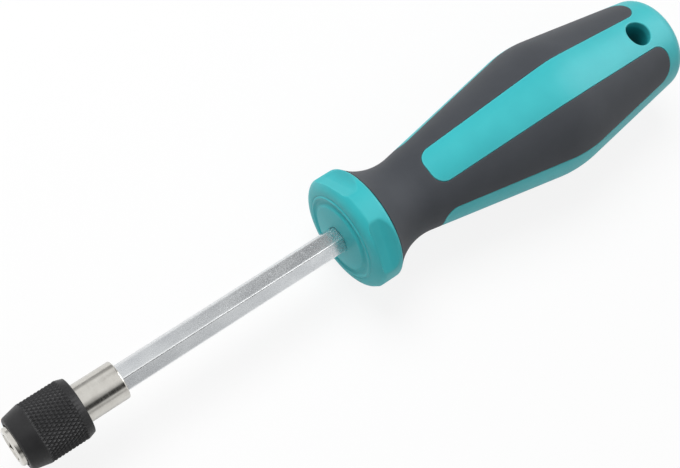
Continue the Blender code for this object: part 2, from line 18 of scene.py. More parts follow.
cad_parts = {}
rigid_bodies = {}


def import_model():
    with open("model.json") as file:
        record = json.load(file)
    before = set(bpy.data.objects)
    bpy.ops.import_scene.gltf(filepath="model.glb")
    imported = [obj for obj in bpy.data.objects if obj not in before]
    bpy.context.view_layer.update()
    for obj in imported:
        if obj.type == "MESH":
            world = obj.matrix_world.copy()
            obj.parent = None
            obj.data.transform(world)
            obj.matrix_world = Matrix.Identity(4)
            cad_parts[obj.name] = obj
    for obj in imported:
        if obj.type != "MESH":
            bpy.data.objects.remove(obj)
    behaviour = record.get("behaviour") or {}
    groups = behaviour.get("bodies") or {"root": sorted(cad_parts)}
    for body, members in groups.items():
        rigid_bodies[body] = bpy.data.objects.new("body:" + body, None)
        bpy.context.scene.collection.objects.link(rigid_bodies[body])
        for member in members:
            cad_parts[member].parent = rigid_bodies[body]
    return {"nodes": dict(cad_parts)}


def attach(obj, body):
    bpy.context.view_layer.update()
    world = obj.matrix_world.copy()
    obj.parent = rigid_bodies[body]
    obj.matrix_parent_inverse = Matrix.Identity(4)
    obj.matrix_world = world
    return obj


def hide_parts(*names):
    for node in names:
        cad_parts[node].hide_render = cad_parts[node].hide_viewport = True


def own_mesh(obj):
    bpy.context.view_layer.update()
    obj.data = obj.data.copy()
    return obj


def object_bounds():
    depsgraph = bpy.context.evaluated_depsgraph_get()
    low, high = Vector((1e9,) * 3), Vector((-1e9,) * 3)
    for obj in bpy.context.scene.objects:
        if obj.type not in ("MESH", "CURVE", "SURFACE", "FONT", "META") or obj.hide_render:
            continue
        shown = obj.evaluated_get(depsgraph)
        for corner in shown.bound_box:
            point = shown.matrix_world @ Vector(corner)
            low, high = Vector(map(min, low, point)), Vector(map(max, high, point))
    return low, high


for leftover in list(bpy.data.objects):
    bpy.data.objects.remove(leftover)
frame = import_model()
CAD_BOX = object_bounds()

MM = 0.001
SIDES = 4
QUARTER = math.pi / 2
SIXTH = math.pi / 3
WELD = 1e-6
TINY = 1e-9
SHARP = math.radians(40.0)
CORNER_SHARE = 0.48
SHAFT_TURN = math.radians(11.4)
WHITE = (1.0, 1.0, 1.0, 1.0)
LOG = logging.getLogger("bit_holder_screwdriver")
Grid = np.ndarray


class Body(Enum):
    """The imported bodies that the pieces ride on."""

    TOOL = "tool"
    SPRING_SEAT = "spring_seat"
    SLEEVE = "sleeve"
    BALL = "ball"


class Slot(Enum):
    """The record's material slots."""

    HARD_PLASTIC = "hard_plastic"
    SOFT_PLASTIC = "soft_plastic"
    PLATED_STEEL = "plated_steel"
    TURNED_STEEL = "turned_steel"
    MAGNET_PLATE = "magnet_plate"
    SPRING_STEEL = "spring_steel"
    BLACK_STEEL = "black_steel"


# Shapes as whole arrays


def gathered(steps: int) -> Grid:
    """Places from -1 to 1, gathered towards both ends: the sine of evenly spaced angles.

    Args:
        steps: How many steps there are between the ends.

    Returns:
        The steps + 1 places.
    """
    return np.sin(np.linspace(-0.5, 0.5, steps + 1) * math.pi)


def between_sides(side: Grid | float, steps: int) -> Grid:
    """Angles over a quarter turn less a side's own angle at both ends, gathered towards the ends."""
    return QUARTER / 2 + (QUARTER / 2 - side) * gathered(steps)


def polar(x: Grid, radius: Grid, angle: Grid) -> Grid:
    """Points round the tool: x along it, radius times the sine and the cosine of the angle across.

    Args:
        x: Places along the tool.
        radius: Distances from the axis.
        angle: Angles from +Z towards +Y.

    Returns:
        The points, in the shape that the three arrays broadcast to, with a last axis of three.
    """
    x, radius, angle = np.broadcast_arrays(x, radius, angle)
    return np.stack([x, radius * np.sin(angle), radius * np.cos(angle)], axis=-1)


def turned_about(points: Grid, angle: float) -> Grid:
    """Points turned about the tool's axis, +Z towards +Y.

    Args:
        points: Points with a last axis of three.
        angle: The turn.

    Returns:
        The turned points.
    """
    y, z = points[..., 1], points[..., 2]
    across = y * math.cos(angle) + z * math.sin(angle)
    up = z * math.cos(angle) - y * math.sin(angle)
    return np.stack([points[..., 0], across, up], axis=-1)


def lowered(points: Grid, depth: Grid | float) -> Grid:
    """Points moved straight towards the axis: y and z times 1 - depth / their distance from it.

    Args:
        points: Points with a last axis of three.
        depth: How far each one moves.

    Returns:
        The moved points.
    """
    out = np.linalg.norm(points[..., 1:], axis=-1)
    share = 1.0 - depth / out
    return points * np.stack([np.ones_like(out), share, share], axis=-1)


def off_flat(angle: Grid, clocking: float) -> Grid:
    """Angles from a hexagon's nearest flat, up to half of a sixth of a turn to either side."""
    return (angle - clocking + SIXTH / 2) % SIXTH - SIXTH / 2


def hexagon(flat: float, angle: Grid, clocking: float) -> Grid:
    """Radius of a hexagon: its half width over the cosine of the angle from its nearest flat."""
    return flat / np.cos(off_flat(angle, clocking))


def hexagon_angles(clocking: float, steps: int) -> Grid:
    """Angles once round the tool, gathered at a hexagon's corners.

    Args:
        clocking: The angle of one flat.
        steps: Steps on each flat.

    Returns:
        The angles, the last one a full turn after the first.
    """
    sides = clocking + np.arange(6)[:, None] * SIXTH + gathered(steps)[:-1] * SIXTH / 2
    return np.append(sides.ravel(), sides[0, 0] + 2 * math.pi)


def bell(value: Grid, place: Grid | float, width: float) -> Grid:
    """A bell curve, exp(-((value - place) / width)^2): 1 at the place, and low past the width."""
    return np.exp(-((value - place) / width) ** 2)


def soft_min(first: Grid, second: Grid, width: float) -> Grid:
    """The lesser of two values, rounded off where they come within a width of each other.

    Args:
        first: One value.
        second: The other.
        width: How far apart the values are where the rounding starts.

    Returns:
        The lesser value less width * s * (1 - s), where the share s runs from 0 to 1 across it.
    """
    share = np.clip(0.5 + 0.5 * (second - first) / width, 0.0, 1.0)
    return second + (first - second) * share - width * share * (1.0 - share)


def rounded(corners: list[tuple[float, float]], radius: float, steps: int = 5) -> Grid:
    """An open outline whose corners are rounded by the curve (1-t)^2 A + 2t(1-t) B + t^2 C.

    B is the corner, and A and C lie before and after it by the radius, or by CORNER_SHARE of a side
    that is too short for it.

    Args:
        corners: The outline's (x, radius) corners.
        radius: How far from a corner its rounding starts.
        steps: Steps in each rounding.

    Returns:
        The (x, radius) points of the rounded outline.
    """
    line = np.asarray(corners, float)
    before, corner, after = line[:-2], line[1:-1], line[2:]
    back, ahead = before - corner, after - corner
    back_length = np.linalg.norm(back, axis=1, keepdims=True)
    ahead_length = np.linalg.norm(ahead, axis=1, keepdims=True)
    reach = np.minimum(radius, CORNER_SHARE * np.minimum(back_length, ahead_length))
    start = (corner + back / back_length * reach)[:, None]
    stop = (corner + ahead / ahead_length * reach)[:, None]
    t = np.linspace(0.0, 1.0, steps + 1)[None, :, None]
    curve = (1 - t) ** 2 * start + 2 * t * (1 - t) * corner[:, None] + t ** 2 * stop
    return np.concatenate([line[:1], curve.reshape(-1, 2), line[-1:]])


def filled_in(outline: Grid, step: float) -> Grid:
    """An outline with points added along its longer sides, by length along it.

    Args:
        outline: Its (x, radius) points.
        step: The longest side that is left.

    Returns:
        The old points and the new ones in order.
    """
    sides = np.linalg.norm(np.diff(outline, axis=0), axis=1)
    along = np.concatenate([[0.0], np.cumsum(np.maximum(sides, TINY))])
    places = np.union1d(along, np.arange(0.0, along[-1], step))
    return np.stack([np.interp(places, along, outline[:, i]) for i in range(2)], axis=1)


def nearest(points: Grid, line: Grid) -> Grid:
    """Distance from points to the nearest of a line's straight pieces.

    For each piece the foot of the point is at the share (p - a).(b - a) / |b - a|^2, kept from
    0 to 1, and the least distance to a foot is taken.

    Args:
        points: Points with a last axis of three.
        line: The line's pieces, as an array of (start, end) pairs of points.

    Returns:
        The distances, in the points' shape.
    """
    flat = points.reshape(-1, 1, 3)
    start, along = line[None, :, 0], (line[:, 1] - line[:, 0])[None]
    length = np.maximum((along ** 2).sum(-1), TINY ** 2)
    share = np.clip(((flat - start) * along).sum(-1) / length, 0.0, 1.0)
    gap = np.linalg.norm(flat - start - along * share[..., None], axis=-1)
    return gap.min(axis=1).reshape(points.shape[:-1])


def pieces_of(line: Grid) -> Grid:
    """The straight pieces of a line of points, as (start, end) pairs."""
    return np.stack([line[:-1], line[1:]], axis=1)


def rolled(distance: Grid, radius: float) -> Grid:
    """How deep a rounded edge sinks at a distance from it: radius less the height of its circle.

    Args:
        distance: Distances from the edge.
        radius: The edge's radius.

    Returns:
        The depths, nothing past the radius.
    """
    inside = radius - np.clip(distance, 0.0, radius)
    return radius - np.sqrt(np.maximum(radius ** 2 - inside ** 2, 0.0))


def tube(path: Grid, outward: Grid, sideways: Grid, radius: float, around: int) -> Grid:
    """A round wire: centre + radius * (cos a * outward + sin a * sideways), closed at both ends.

    Args:
        path: The wire's centre line.
        outward: Unit vectors across the wire.
        sideways: Unit vectors across the wire and the outward ones.
        radius: The wire's radius.
        around: Steps round the wire.

    Returns:
        The grid of points, with a row drawn in to a rounded point at each end.
    """
    angle = np.linspace(0.0, 2 * math.pi, around + 1)[None, :, None]
    ring = np.cos(angle) * outward[:, None] + np.sin(angle) * sideways[:, None]
    body = path[:, None] + radius * ring
    ends = [np.broadcast_to(path[i], body[0].shape)[None] for i in (0, -1)]
    return np.concatenate([ends[0], body, ends[1]])


# Meshes from patches


@dataclass
class Patch:
    """A grid of points, rows by columns, that becomes part of a piece's skin.

    Attributes:
        points: The points, rows by columns by three.
        wear_and_painted_light: How much each point is lightened for wear and painted edge highlights,
            from 0 to 1, or down to -1 for painted shade deep in a hole.
        keep: False for each cell of the grid that is left out.
    """

    points: Grid
    wear_and_painted_light: Grid | float = 0.0
    keep: Grid | None = None

    def cells(self, start: int) -> Grid:
        """The corner numbers of the patch's cells.

        Args:
            start: The number of the patch's first point.

        Returns:
            Four numbers for each cell.
        """
        rows, columns = self.points.shape[:2]
        index = start + np.arange(rows * columns).reshape(rows, columns)
        corners = [index[:-1, :-1], index[1:, :-1], index[1:, 1:], index[:-1, 1:]]
        quads = np.stack(corners, axis=-1)
        return quads.reshape(-1, 4) if self.keep is None else quads[self.keep]

    def rubbed(self) -> Grid:
        """The wear of every point in turn."""
        return np.broadcast_to(self.wear_and_painted_light, self.points.shape[:2]).ravel()

    def round_by(self, angle: float) -> "Patch":
        """The patch turned about the tool's axis."""
        return Patch(turned_about(self.points, angle), self.wear_and_painted_light, self.keep)


def sewn(name: str, patches: list[Patch]) -> bpy.types.Mesh:
    """Joins patches into one closed mesh: borders that lie together become one seam.

    Args:
        name: The mesh's name.
        patches: The patches, which together leave no border open.

    Returns:
        The mesh, with its faces outwards and its wear in the attribute of that name.
    """
    points = np.concatenate([patch.points.reshape(-1, 3) for patch in patches])
    counts = [patch.points.shape[0] * patch.points.shape[1] for patch in patches]
    starts = np.concatenate([[0], np.cumsum(counts)[:-1]])
    quads = np.concatenate([patch.cells(start) for patch, start in zip(patches, starts)])
    mesh = bpy.data.meshes.new(name)
    mesh.vertices.add(len(points))
    mesh.vertices.foreach_set("co", points.ravel())
    mesh.loops.add(quads.size)
    mesh.loops.foreach_set("vertex_index", quads.ravel())
    mesh.polygons.add(len(quads))
    mesh.polygons.foreach_set("loop_start", np.arange(0, quads.size, 4))
    mesh.update(calc_edges=True)
    # The attribute carries wear, painted edge highlights and painted shade in holes.
    wear_and_painted_light = mesh.attributes.new("wear_and_painted_light", "FLOAT", "POINT")
    wear_and_painted_light.data.foreach_set("value", np.concatenate([patch.rubbed() for patch in patches]))
    bm = bmesh.new()
    bm.from_mesh(mesh)
    bmesh.ops.remove_doubles(bm, verts=bm.verts, dist=WELD)
    bmesh.ops.recalc_face_normals(bm, faces=bm.faces)
    bm.to_mesh(mesh)
    bm.free()
    mesh.shade_smooth()
    mesh.set_sharp_from_angle(angle=SHARP)
    return mesh


def turned(outline: Grid, steps: int, wear_and_painted_light: Grid | float = 0.0) -> Patch:
    """A turned skin: every (x, radius) point of an outline carried once round the axis.

    Args:
        outline: The outline, either closed or with both ends on the axis.
        steps: Steps round the axis.
        wear_and_painted_light: How much the skin is lightened for wear and painted highlights.

    Returns:
        The patch.
    """
    angle = np.linspace(0.0, 2 * math.pi, steps + 1)
    return Patch(polar(outline[:, :1], outline[:, 1:], angle[None]), wear_and_painted_light)


# Finishes


def linear(colour: tuple[int, int, int]) -> tuple[float, float, float, float]:
    """A screen colour as the light values that a shader takes, by the usual screen curve.

    Args:
        colour: Three numbers up to 255.

    Returns:
        The light values, and 1 for full cover.
    """
    part = np.asarray(colour) / 255.0
    light = np.where(part <= 0.04045, part / 12.92, ((part + 0.055) / 1.055) ** 2.4)
    return (*light.tolist(), 1.0)


class Nodes:
    """The nodes of a material or a world, and the wires between them."""

    def __init__(self, owner: bpy.types.Material | bpy.types.World) -> None:
        """Clears the owner's nodes.

        Args:
            owner: What the nodes belong to.
        """
        owner.use_nodes = True
        self.tree = owner.node_tree
        self.tree.nodes.clear()

    def node(self, kind: str, inputs: dict | None = None, **settings: object) -> bpy.types.Node:
        """Adds a node.

        Args:
            kind: The node's type.
            inputs: Values for its sockets, or the sockets that are wired to them.
            settings: Its other settings.

        Returns:
            The node.
        """
        node = self.tree.nodes.new(kind)
        for name, value in settings.items():
            setattr(node, name, value)
        for name, value in (inputs or {}).items():
            self.give(node.inputs[name], value)
        return node

    def give(self, socket: bpy.types.NodeSocket, value: object) -> None:
        """Wires a socket to another one, or sets its own value.

        Args:
            socket: The socket.
            value: The other socket, or the value.
        """
        if isinstance(value, bpy.types.NodeSocket):
            self.tree.links.new(value, socket)
        else:
            socket.default_value = value

    def worked(self, operation: str, *values: object) -> bpy.types.NodeSocket:
        """The result of a step of arithmetic.

        Args:
            operation: The kind of step.
            values: The numbers or sockets that it takes.

        Returns:
            The result's socket.
        """
        inputs = dict(enumerate(values))
        return self.node("ShaderNodeMath", inputs, operation=operation).outputs[0]


class Wiring(Nodes):
    """A material's nodes."""

    def __init__(self, name: str) -> None:
        """Starts a material with a shader that is wired to its output.

        Args:
            name: The material's name.
        """
        self.material = bpy.data.materials.new(name)
        super().__init__(self.material)
        self.shader = self.node("ShaderNodeBsdfPrincipled")
        self.output = self.node("ShaderNodeOutputMaterial", {"Surface": self.shader.outputs["BSDF"]})
        self.place = self.node("ShaderNodeTexCoord").outputs["Object"]

    def finish(self, **values: object) -> bpy.types.Material:
        """Gives the shader its values.

        Args:
            values: Values or sockets for the shader's inputs, with _ for a space in a name.

        Returns:
            The finished material.
        """
        for name, value in values.items():
            self.give(self.shader.inputs[name.replace("_", " ")], value)
        return self.material

    def mottle(self, size: float, detail: float = 2.0,
               stretch: tuple[float, float, float] = (1.0, 1.0, 1.0)) -> bpy.types.NodeSocket:
        """Cloudy noise on the piece's own coordinates.

        Args:
            size: About how large its spots are.
            detail: How many finer layers it has.
            stretch: How much denser it is along each axis.

        Returns:
            The noise, about 0.5 in the mean.
        """
        scaled = self.node("ShaderNodeMapping", {"Vector": self.place, "Scale": stretch})
        inputs = {"Vector": scaled.outputs["Vector"], "Scale": 1.0 / size, "Detail": detail}
        return self.node("ShaderNodeTexNoise", inputs).outputs["Fac"]

    def wear_and_painted_light(self) -> bpy.types.NodeSocket:
        """The wear that the piece's mesh carries."""
        return self.node("ShaderNodeAttribute", attribute_name="wear_and_painted_light").outputs["Fac"]

    def between(self, share: bpy.types.NodeSocket, low: float, high: float,
                start: float = 0.3, stop: float = 0.7) -> bpy.types.NodeSocket:
        """A number that runs from low to high while the share runs from start to stop.

        Args:
            share: What it follows.
            low: The number at the start.
            high: The number at the stop.
            start: The share where it starts.
            stop: The share where it stops.

        Returns:
            The number's socket.
        """
        inputs = {"Value": share, "From Min": start, "From Max": stop, "To Min": low, "To Max": high}
        return self.node("ShaderNodeMapRange", inputs).outputs["Result"]

    def tint(self, share: bpy.types.NodeSocket, first: object, second: object) -> bpy.types.NodeSocket:
        """A colour between two others.

        Args:
            share: 0 for the first, 1 for the second.
            first: A colour, or a socket that gives one.
            second: The same.

        Returns:
            The colour's socket.
        """
        mix = self.node("ShaderNodeMix", data_type="RGBA")
        for index, value in ((0, share), (6, first), (7, second)):
            self.give(mix.inputs[index], value)
        return mix.outputs[2]

    def bump(self, height: bpy.types.NodeSocket, depth: float, strength: float = 1.0,
             over: bpy.types.NodeSocket | None = None) -> bpy.types.NodeSocket:
        """Relief from a height.

        Args:
            height: The height, from 0 to 1.
            depth: How high 1 is.
            strength: How much of it shows.
            over: Relief that this one lies on.

        Returns:
            The normal's socket.
        """
        inputs = {"Height": height, "Distance": depth, "Strength": strength}
        if over is not None:
            inputs["Normal"] = over
        return self.node("ShaderNodeBump", inputs).outputs["Normal"]


@dataclass(frozen=True)
class Finish:
    """What every finish has.

    Attributes:
        slot: The record's material slot.
        colour: Its colour on a screen.
        shade: The deeper colour of its spots.
        rubbed: The lighter colour of worn edges and of their painted edge highlights.
        roughness: Its mean roughness.
        spread: How much smoother and rougher than the mean it gets.
        cloud: Size of its spots.
        rub: How far an edge at full wear and painted highlight goes towards the rubbed colour.
    """

    slot: Slot
    colour: tuple[int, int, int]
    shade: tuple[int, int, int]
    rubbed: tuple[int, int, int]
    roughness: float
    spread: tuple[float, float] = (0.06, 0.08)
    cloud: float = 2.5 * MM
    rub: float = 0.8

    def material(self) -> bpy.types.Material:
        """The finish's material, made the first time that it is asked for."""
        name = f"{self.slot.value}_finish"
        return bpy.data.materials.get(name) or self.wired(Wiring(name))

    def wired(self, wiring: Wiring) -> bpy.types.Material:
        """Wires the finish's nodes; each kind of finish does it in its own way."""
        raise NotImplementedError

    def coloured(self, wiring: Wiring, spots: bpy.types.NodeSocket) -> bpy.types.NodeSocket:
        """The finish's colour with its spots, and its edges lightened for wear and painted highlights.

        Args:
            wiring: The material's wiring.
            spots: The noise that the spots follow.

        Returns:
            The colour's socket.
        """
        share = wiring.between(spots, 0.0, 1.0)
        ground = wiring.tint(share, linear(self.colour), linear(self.shade))
        # Edges lighten towards the rubbed colour: wear, and painted edge highlights.
        edge = wiring.between(wiring.wear_and_painted_light(), 0.0, self.rub, start=0.0, stop=1.0)
        return wiring.tint(edge, ground, linear(self.rubbed))

    def uneven(self, wiring: Wiring, noise: bpy.types.NodeSocket) -> bpy.types.NodeSocket:
        """The finish's roughness, spread about its mean by a noise."""
        smoother, rougher = self.spread
        return wiring.between(noise, self.roughness - smoother, self.roughness + rougher)


@dataclass(frozen=True)
class MouldedPlastic(Finish):
    """Plastic from a mould with a fine eroded grain, polished a little where hands rub it.

    Attributes:
        grain: Size of the grain.
        depth: Depth of the grain.
        wave: Length and depth of the slight waves in its surface.
        gloss: How much of the surroundings it mirrors, where 0.5 is plain plastic.
        sheen: How much dull light it throws back at its outline.
        hollow: Painted shade deep in a hole: the darker colour that a hole's wall is painted towards.
    """

    spread: tuple[float, float] = (0.05, 0.07)
    cloud: float = 7.0 * MM
    rub: float = 0.2
    grain: float = 0.25 * MM
    depth: float = 0.010 * MM
    wave: tuple[float, float] = (9.0 * MM, 0.03 * MM)
    gloss: float = 0.4
    sheen: float = 0.0
    hollow: tuple[int, int, int] = (6, 92, 99)

    def wired(self, wiring: Wiring) -> bpy.types.Material:
        """Wires cloudy colour, painted shade deep in holes, a fine grain and a slight wave of the
        mould's surface.

        Args:
            wiring: The material's wiring.

        Returns:
            The material.
        """
        colour = self.coloured(wiring, wiring.mottle(self.cloud, detail=3.0))
        # Painted shade: where the mesh attribute goes below 0, deep in a hole, the colour darkens
        # towards hollow.
        deep = wiring.between(wiring.wear_and_painted_light(), 1.0, 0.0, start=-1.0, stop=0.0)
        grain = wiring.mottle(self.grain)
        length, height = self.wave
        wave = wiring.bump(wiring.mottle(length, detail=1.0), height, strength=0.6)
        return wiring.finish(
            Base_Color=wiring.tint(deep, colour, linear(self.hollow)),
            Roughness=self.uneven(wiring, grain),
            Normal=wiring.bump(grain, self.depth, strength=0.8, over=wave),
            Specular_IOR_Level=self.gloss,
            Sheen_Weight=self.sheen,
            Sheen_Roughness=0.5,
        )


@dataclass(frozen=True)
class PlatedMetal(Finish):
    """Plated bar with a crystalline speckle and faint drawing lines along its length.

    Attributes:
        speckle: Size of the speckle.
        depth: Depth of the speckle.
        lines: Spacing and depth of the drawing lines.
    """

    spread: tuple[float, float] = (0.10, 0.14)
    cloud: float = 3.0 * MM
    rub: float = 0.9
    speckle: float = 0.22 * MM
    depth: float = 0.012 * MM
    lines: tuple[float, float] = (0.2 * MM, 0.006 * MM)

    def wired(self, wiring: Wiring) -> bpy.types.Material:
        """Wires the speckle into roughness and relief, clouds into colour, and lines into relief.

        Args:
            wiring: The material's wiring.

        Returns:
            The material.
        """
        speckle = wiring.mottle(self.speckle, detail=3.0)
        cloud = wiring.mottle(self.cloud, detail=3.0, stretch=(0.4, 1.0, 1.0))
        spacing, height = self.lines
        lines = wiring.bump(wiring.mottle(spacing, stretch=(0.03, 1.0, 1.0)), height, strength=0.5)
        return wiring.finish(
            Base_Color=self.coloured(wiring, cloud),
            Metallic=1.0,
            Roughness=self.uneven(wiring, speckle),
            Normal=wiring.bump(speckle, self.depth, strength=0.7, over=lines),
        )


@dataclass(frozen=True)
class TurnedMetal(Finish):
    """Metal with the fine lines that a lathe tool leaves round it.

    Attributes:
        pitch: Spacing of the lines.
        depth: Depth of the lines.
        metallic: How far it is metal to the eye.
        gloss: How much of the surroundings it mirrors where it isn't metal to the eye.
    """

    pitch: float = 0.10 * MM
    depth: float = 0.005 * MM
    metallic: float = 1.0
    gloss: float = 0.5

    def wired(self, wiring: Wiring) -> bpy.types.Material:
        """Wires clouds into colour, and noise that is long round the tool into relief.

        Args:
            wiring: The material's wiring.

        Returns:
            The material.
        """
        lines = wiring.mottle(self.pitch, stretch=(1.0, 0.015, 0.015))
        cloud = wiring.mottle(self.cloud, detail=3.0)
        return wiring.finish(
            Base_Color=self.coloured(wiring, cloud),
            Metallic=self.metallic,
            Specular_IOR_Level=self.gloss,
            Roughness=self.uneven(wiring, lines),
            Normal=wiring.bump(lines, self.depth, strength=0.6),
        )


# Each rubbed colour lightens worn edges and paints their highlights.
TEAL = MouldedPlastic(Slot.HARD_PLASTIC, (52, 182, 188), (48, 176, 183), (120, 208, 210), 0.42)
GREY = MouldedPlastic(Slot.SOFT_PLASTIC, (67, 70, 75), (63, 66, 71), (92, 95, 100), 0.62,
                      grain=0.16 * MM, depth=0.014 * MM, gloss=0.2, sheen=0.06)
ZINC = PlatedMetal(Slot.PLATED_STEEL, (222, 225, 227), (205, 208, 211), (242, 244, 245), 0.22)
NICKEL = TurnedMetal(Slot.TURNED_STEEL, (212, 210, 204), (200, 197, 191), (230, 228, 222), 0.16)
MAGNET = TurnedMetal(Slot.MAGNET_PLATE, (190, 190, 188), (176, 176, 173), (225, 225, 222), 0.28)
SPRING = TurnedMetal(Slot.SPRING_STEEL, (170, 171, 174), (150, 151, 154), (210, 211, 213), 0.32)
BLACK = TurnedMetal(Slot.BLACK_STEEL, (46, 46, 47), (40, 40, 41), (72, 72, 73), 0.40,
                    depth=0.003 * MM, metallic=0.0, gloss=0.22)


def placed(name: str, data: bpy.types.ID) -> bpy.types.Object:
    """A new object in the scene.

    Args:
        name: Its name.
        data: Its mesh, light or camera.

    Returns:
        The object.
    """
    thing = bpy.data.objects.new(name, data)
    bpy.context.scene.collection.objects.link(thing)
    return thing


def put(name: str, patches: list[Patch], finish: Finish, body: Body, *nodes: str) -> bpy.types.Object:
    """Makes a piece of patches, dresses it and sets it on its body in place of CAD nodes.

    Args:
        name: The piece's name.
        patches: Its skin.
        finish: Its finish.
        body: The body that it rides on.
        nodes: The CAD nodes that it stands for.

    Returns:
        The piece.
    """
    mesh = sewn(name, patches)
    mesh.materials.append(finish.material())
    piece = placed(name, mesh)
    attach(piece, body.value)
    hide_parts(*nodes)
    LOG.info("%s: %d faces on %s", name, len(mesh.polygons), body.value)
    return piece


# Handle


@dataclass(frozen=True)
class Arc:
    """An arc of the handle's outline.

    Attributes:
        along: Place of its centre along the tool.
        out: Distance of its centre from the axis.
        radius: Its radius, below zero where it is hollow.
    """

    along: float
    out: float
    radius: float

    def height(self, x: Grid) -> Grid:
        """Distance from the axis: out + the signed root of radius^2 - (x - along)^2."""
        root = np.sqrt(np.maximum(self.radius ** 2 - (x - self.along) ** 2, 0.0))
        return self.out + math.copysign(1.0, self.radius) * root

    def touch(self, slope: float) -> float:
        """Where along the tool a line of this slope touches the arc."""
        return self.along - self.radius * math.sin(slope)

    def slope_to(self, other: "Arc") -> float:
        """Slope angle of the line that touches this arc and another one.

        The line between the centres slopes by atan2(rise, across), and the line that touches both
        leans from it by the arcsine of the difference of the radii over the centres' distance.

        Args:
            other: The other arc.

        Returns:
            The angle.
        """
        across, rise = other.along - self.along, other.out - self.out
        lean = math.asin((self.radius - other.radius) / math.hypot(across, rise))
        return math.atan2(rise, across) - lean


@dataclass(frozen=True)
class Rub:
    """Wear and a painted highlight along an edge of the collar.

    Attributes:
        share: How far the edge itself is lightened.
        width: How far from the edge the wear falls off.
        inner: Radius that the wear stays outside of.
    """

    share: float
    width: float
    inner: float = 0.0

    def wear_and_painted_light(self, place: Grid, edge: Grid | float, radius: Grid) -> Grid:
        """The wear at places beside the edge: a bell across it, outside the inner radius."""
        return self.share * bell(place, edge, self.width) * (radius > self.inner)


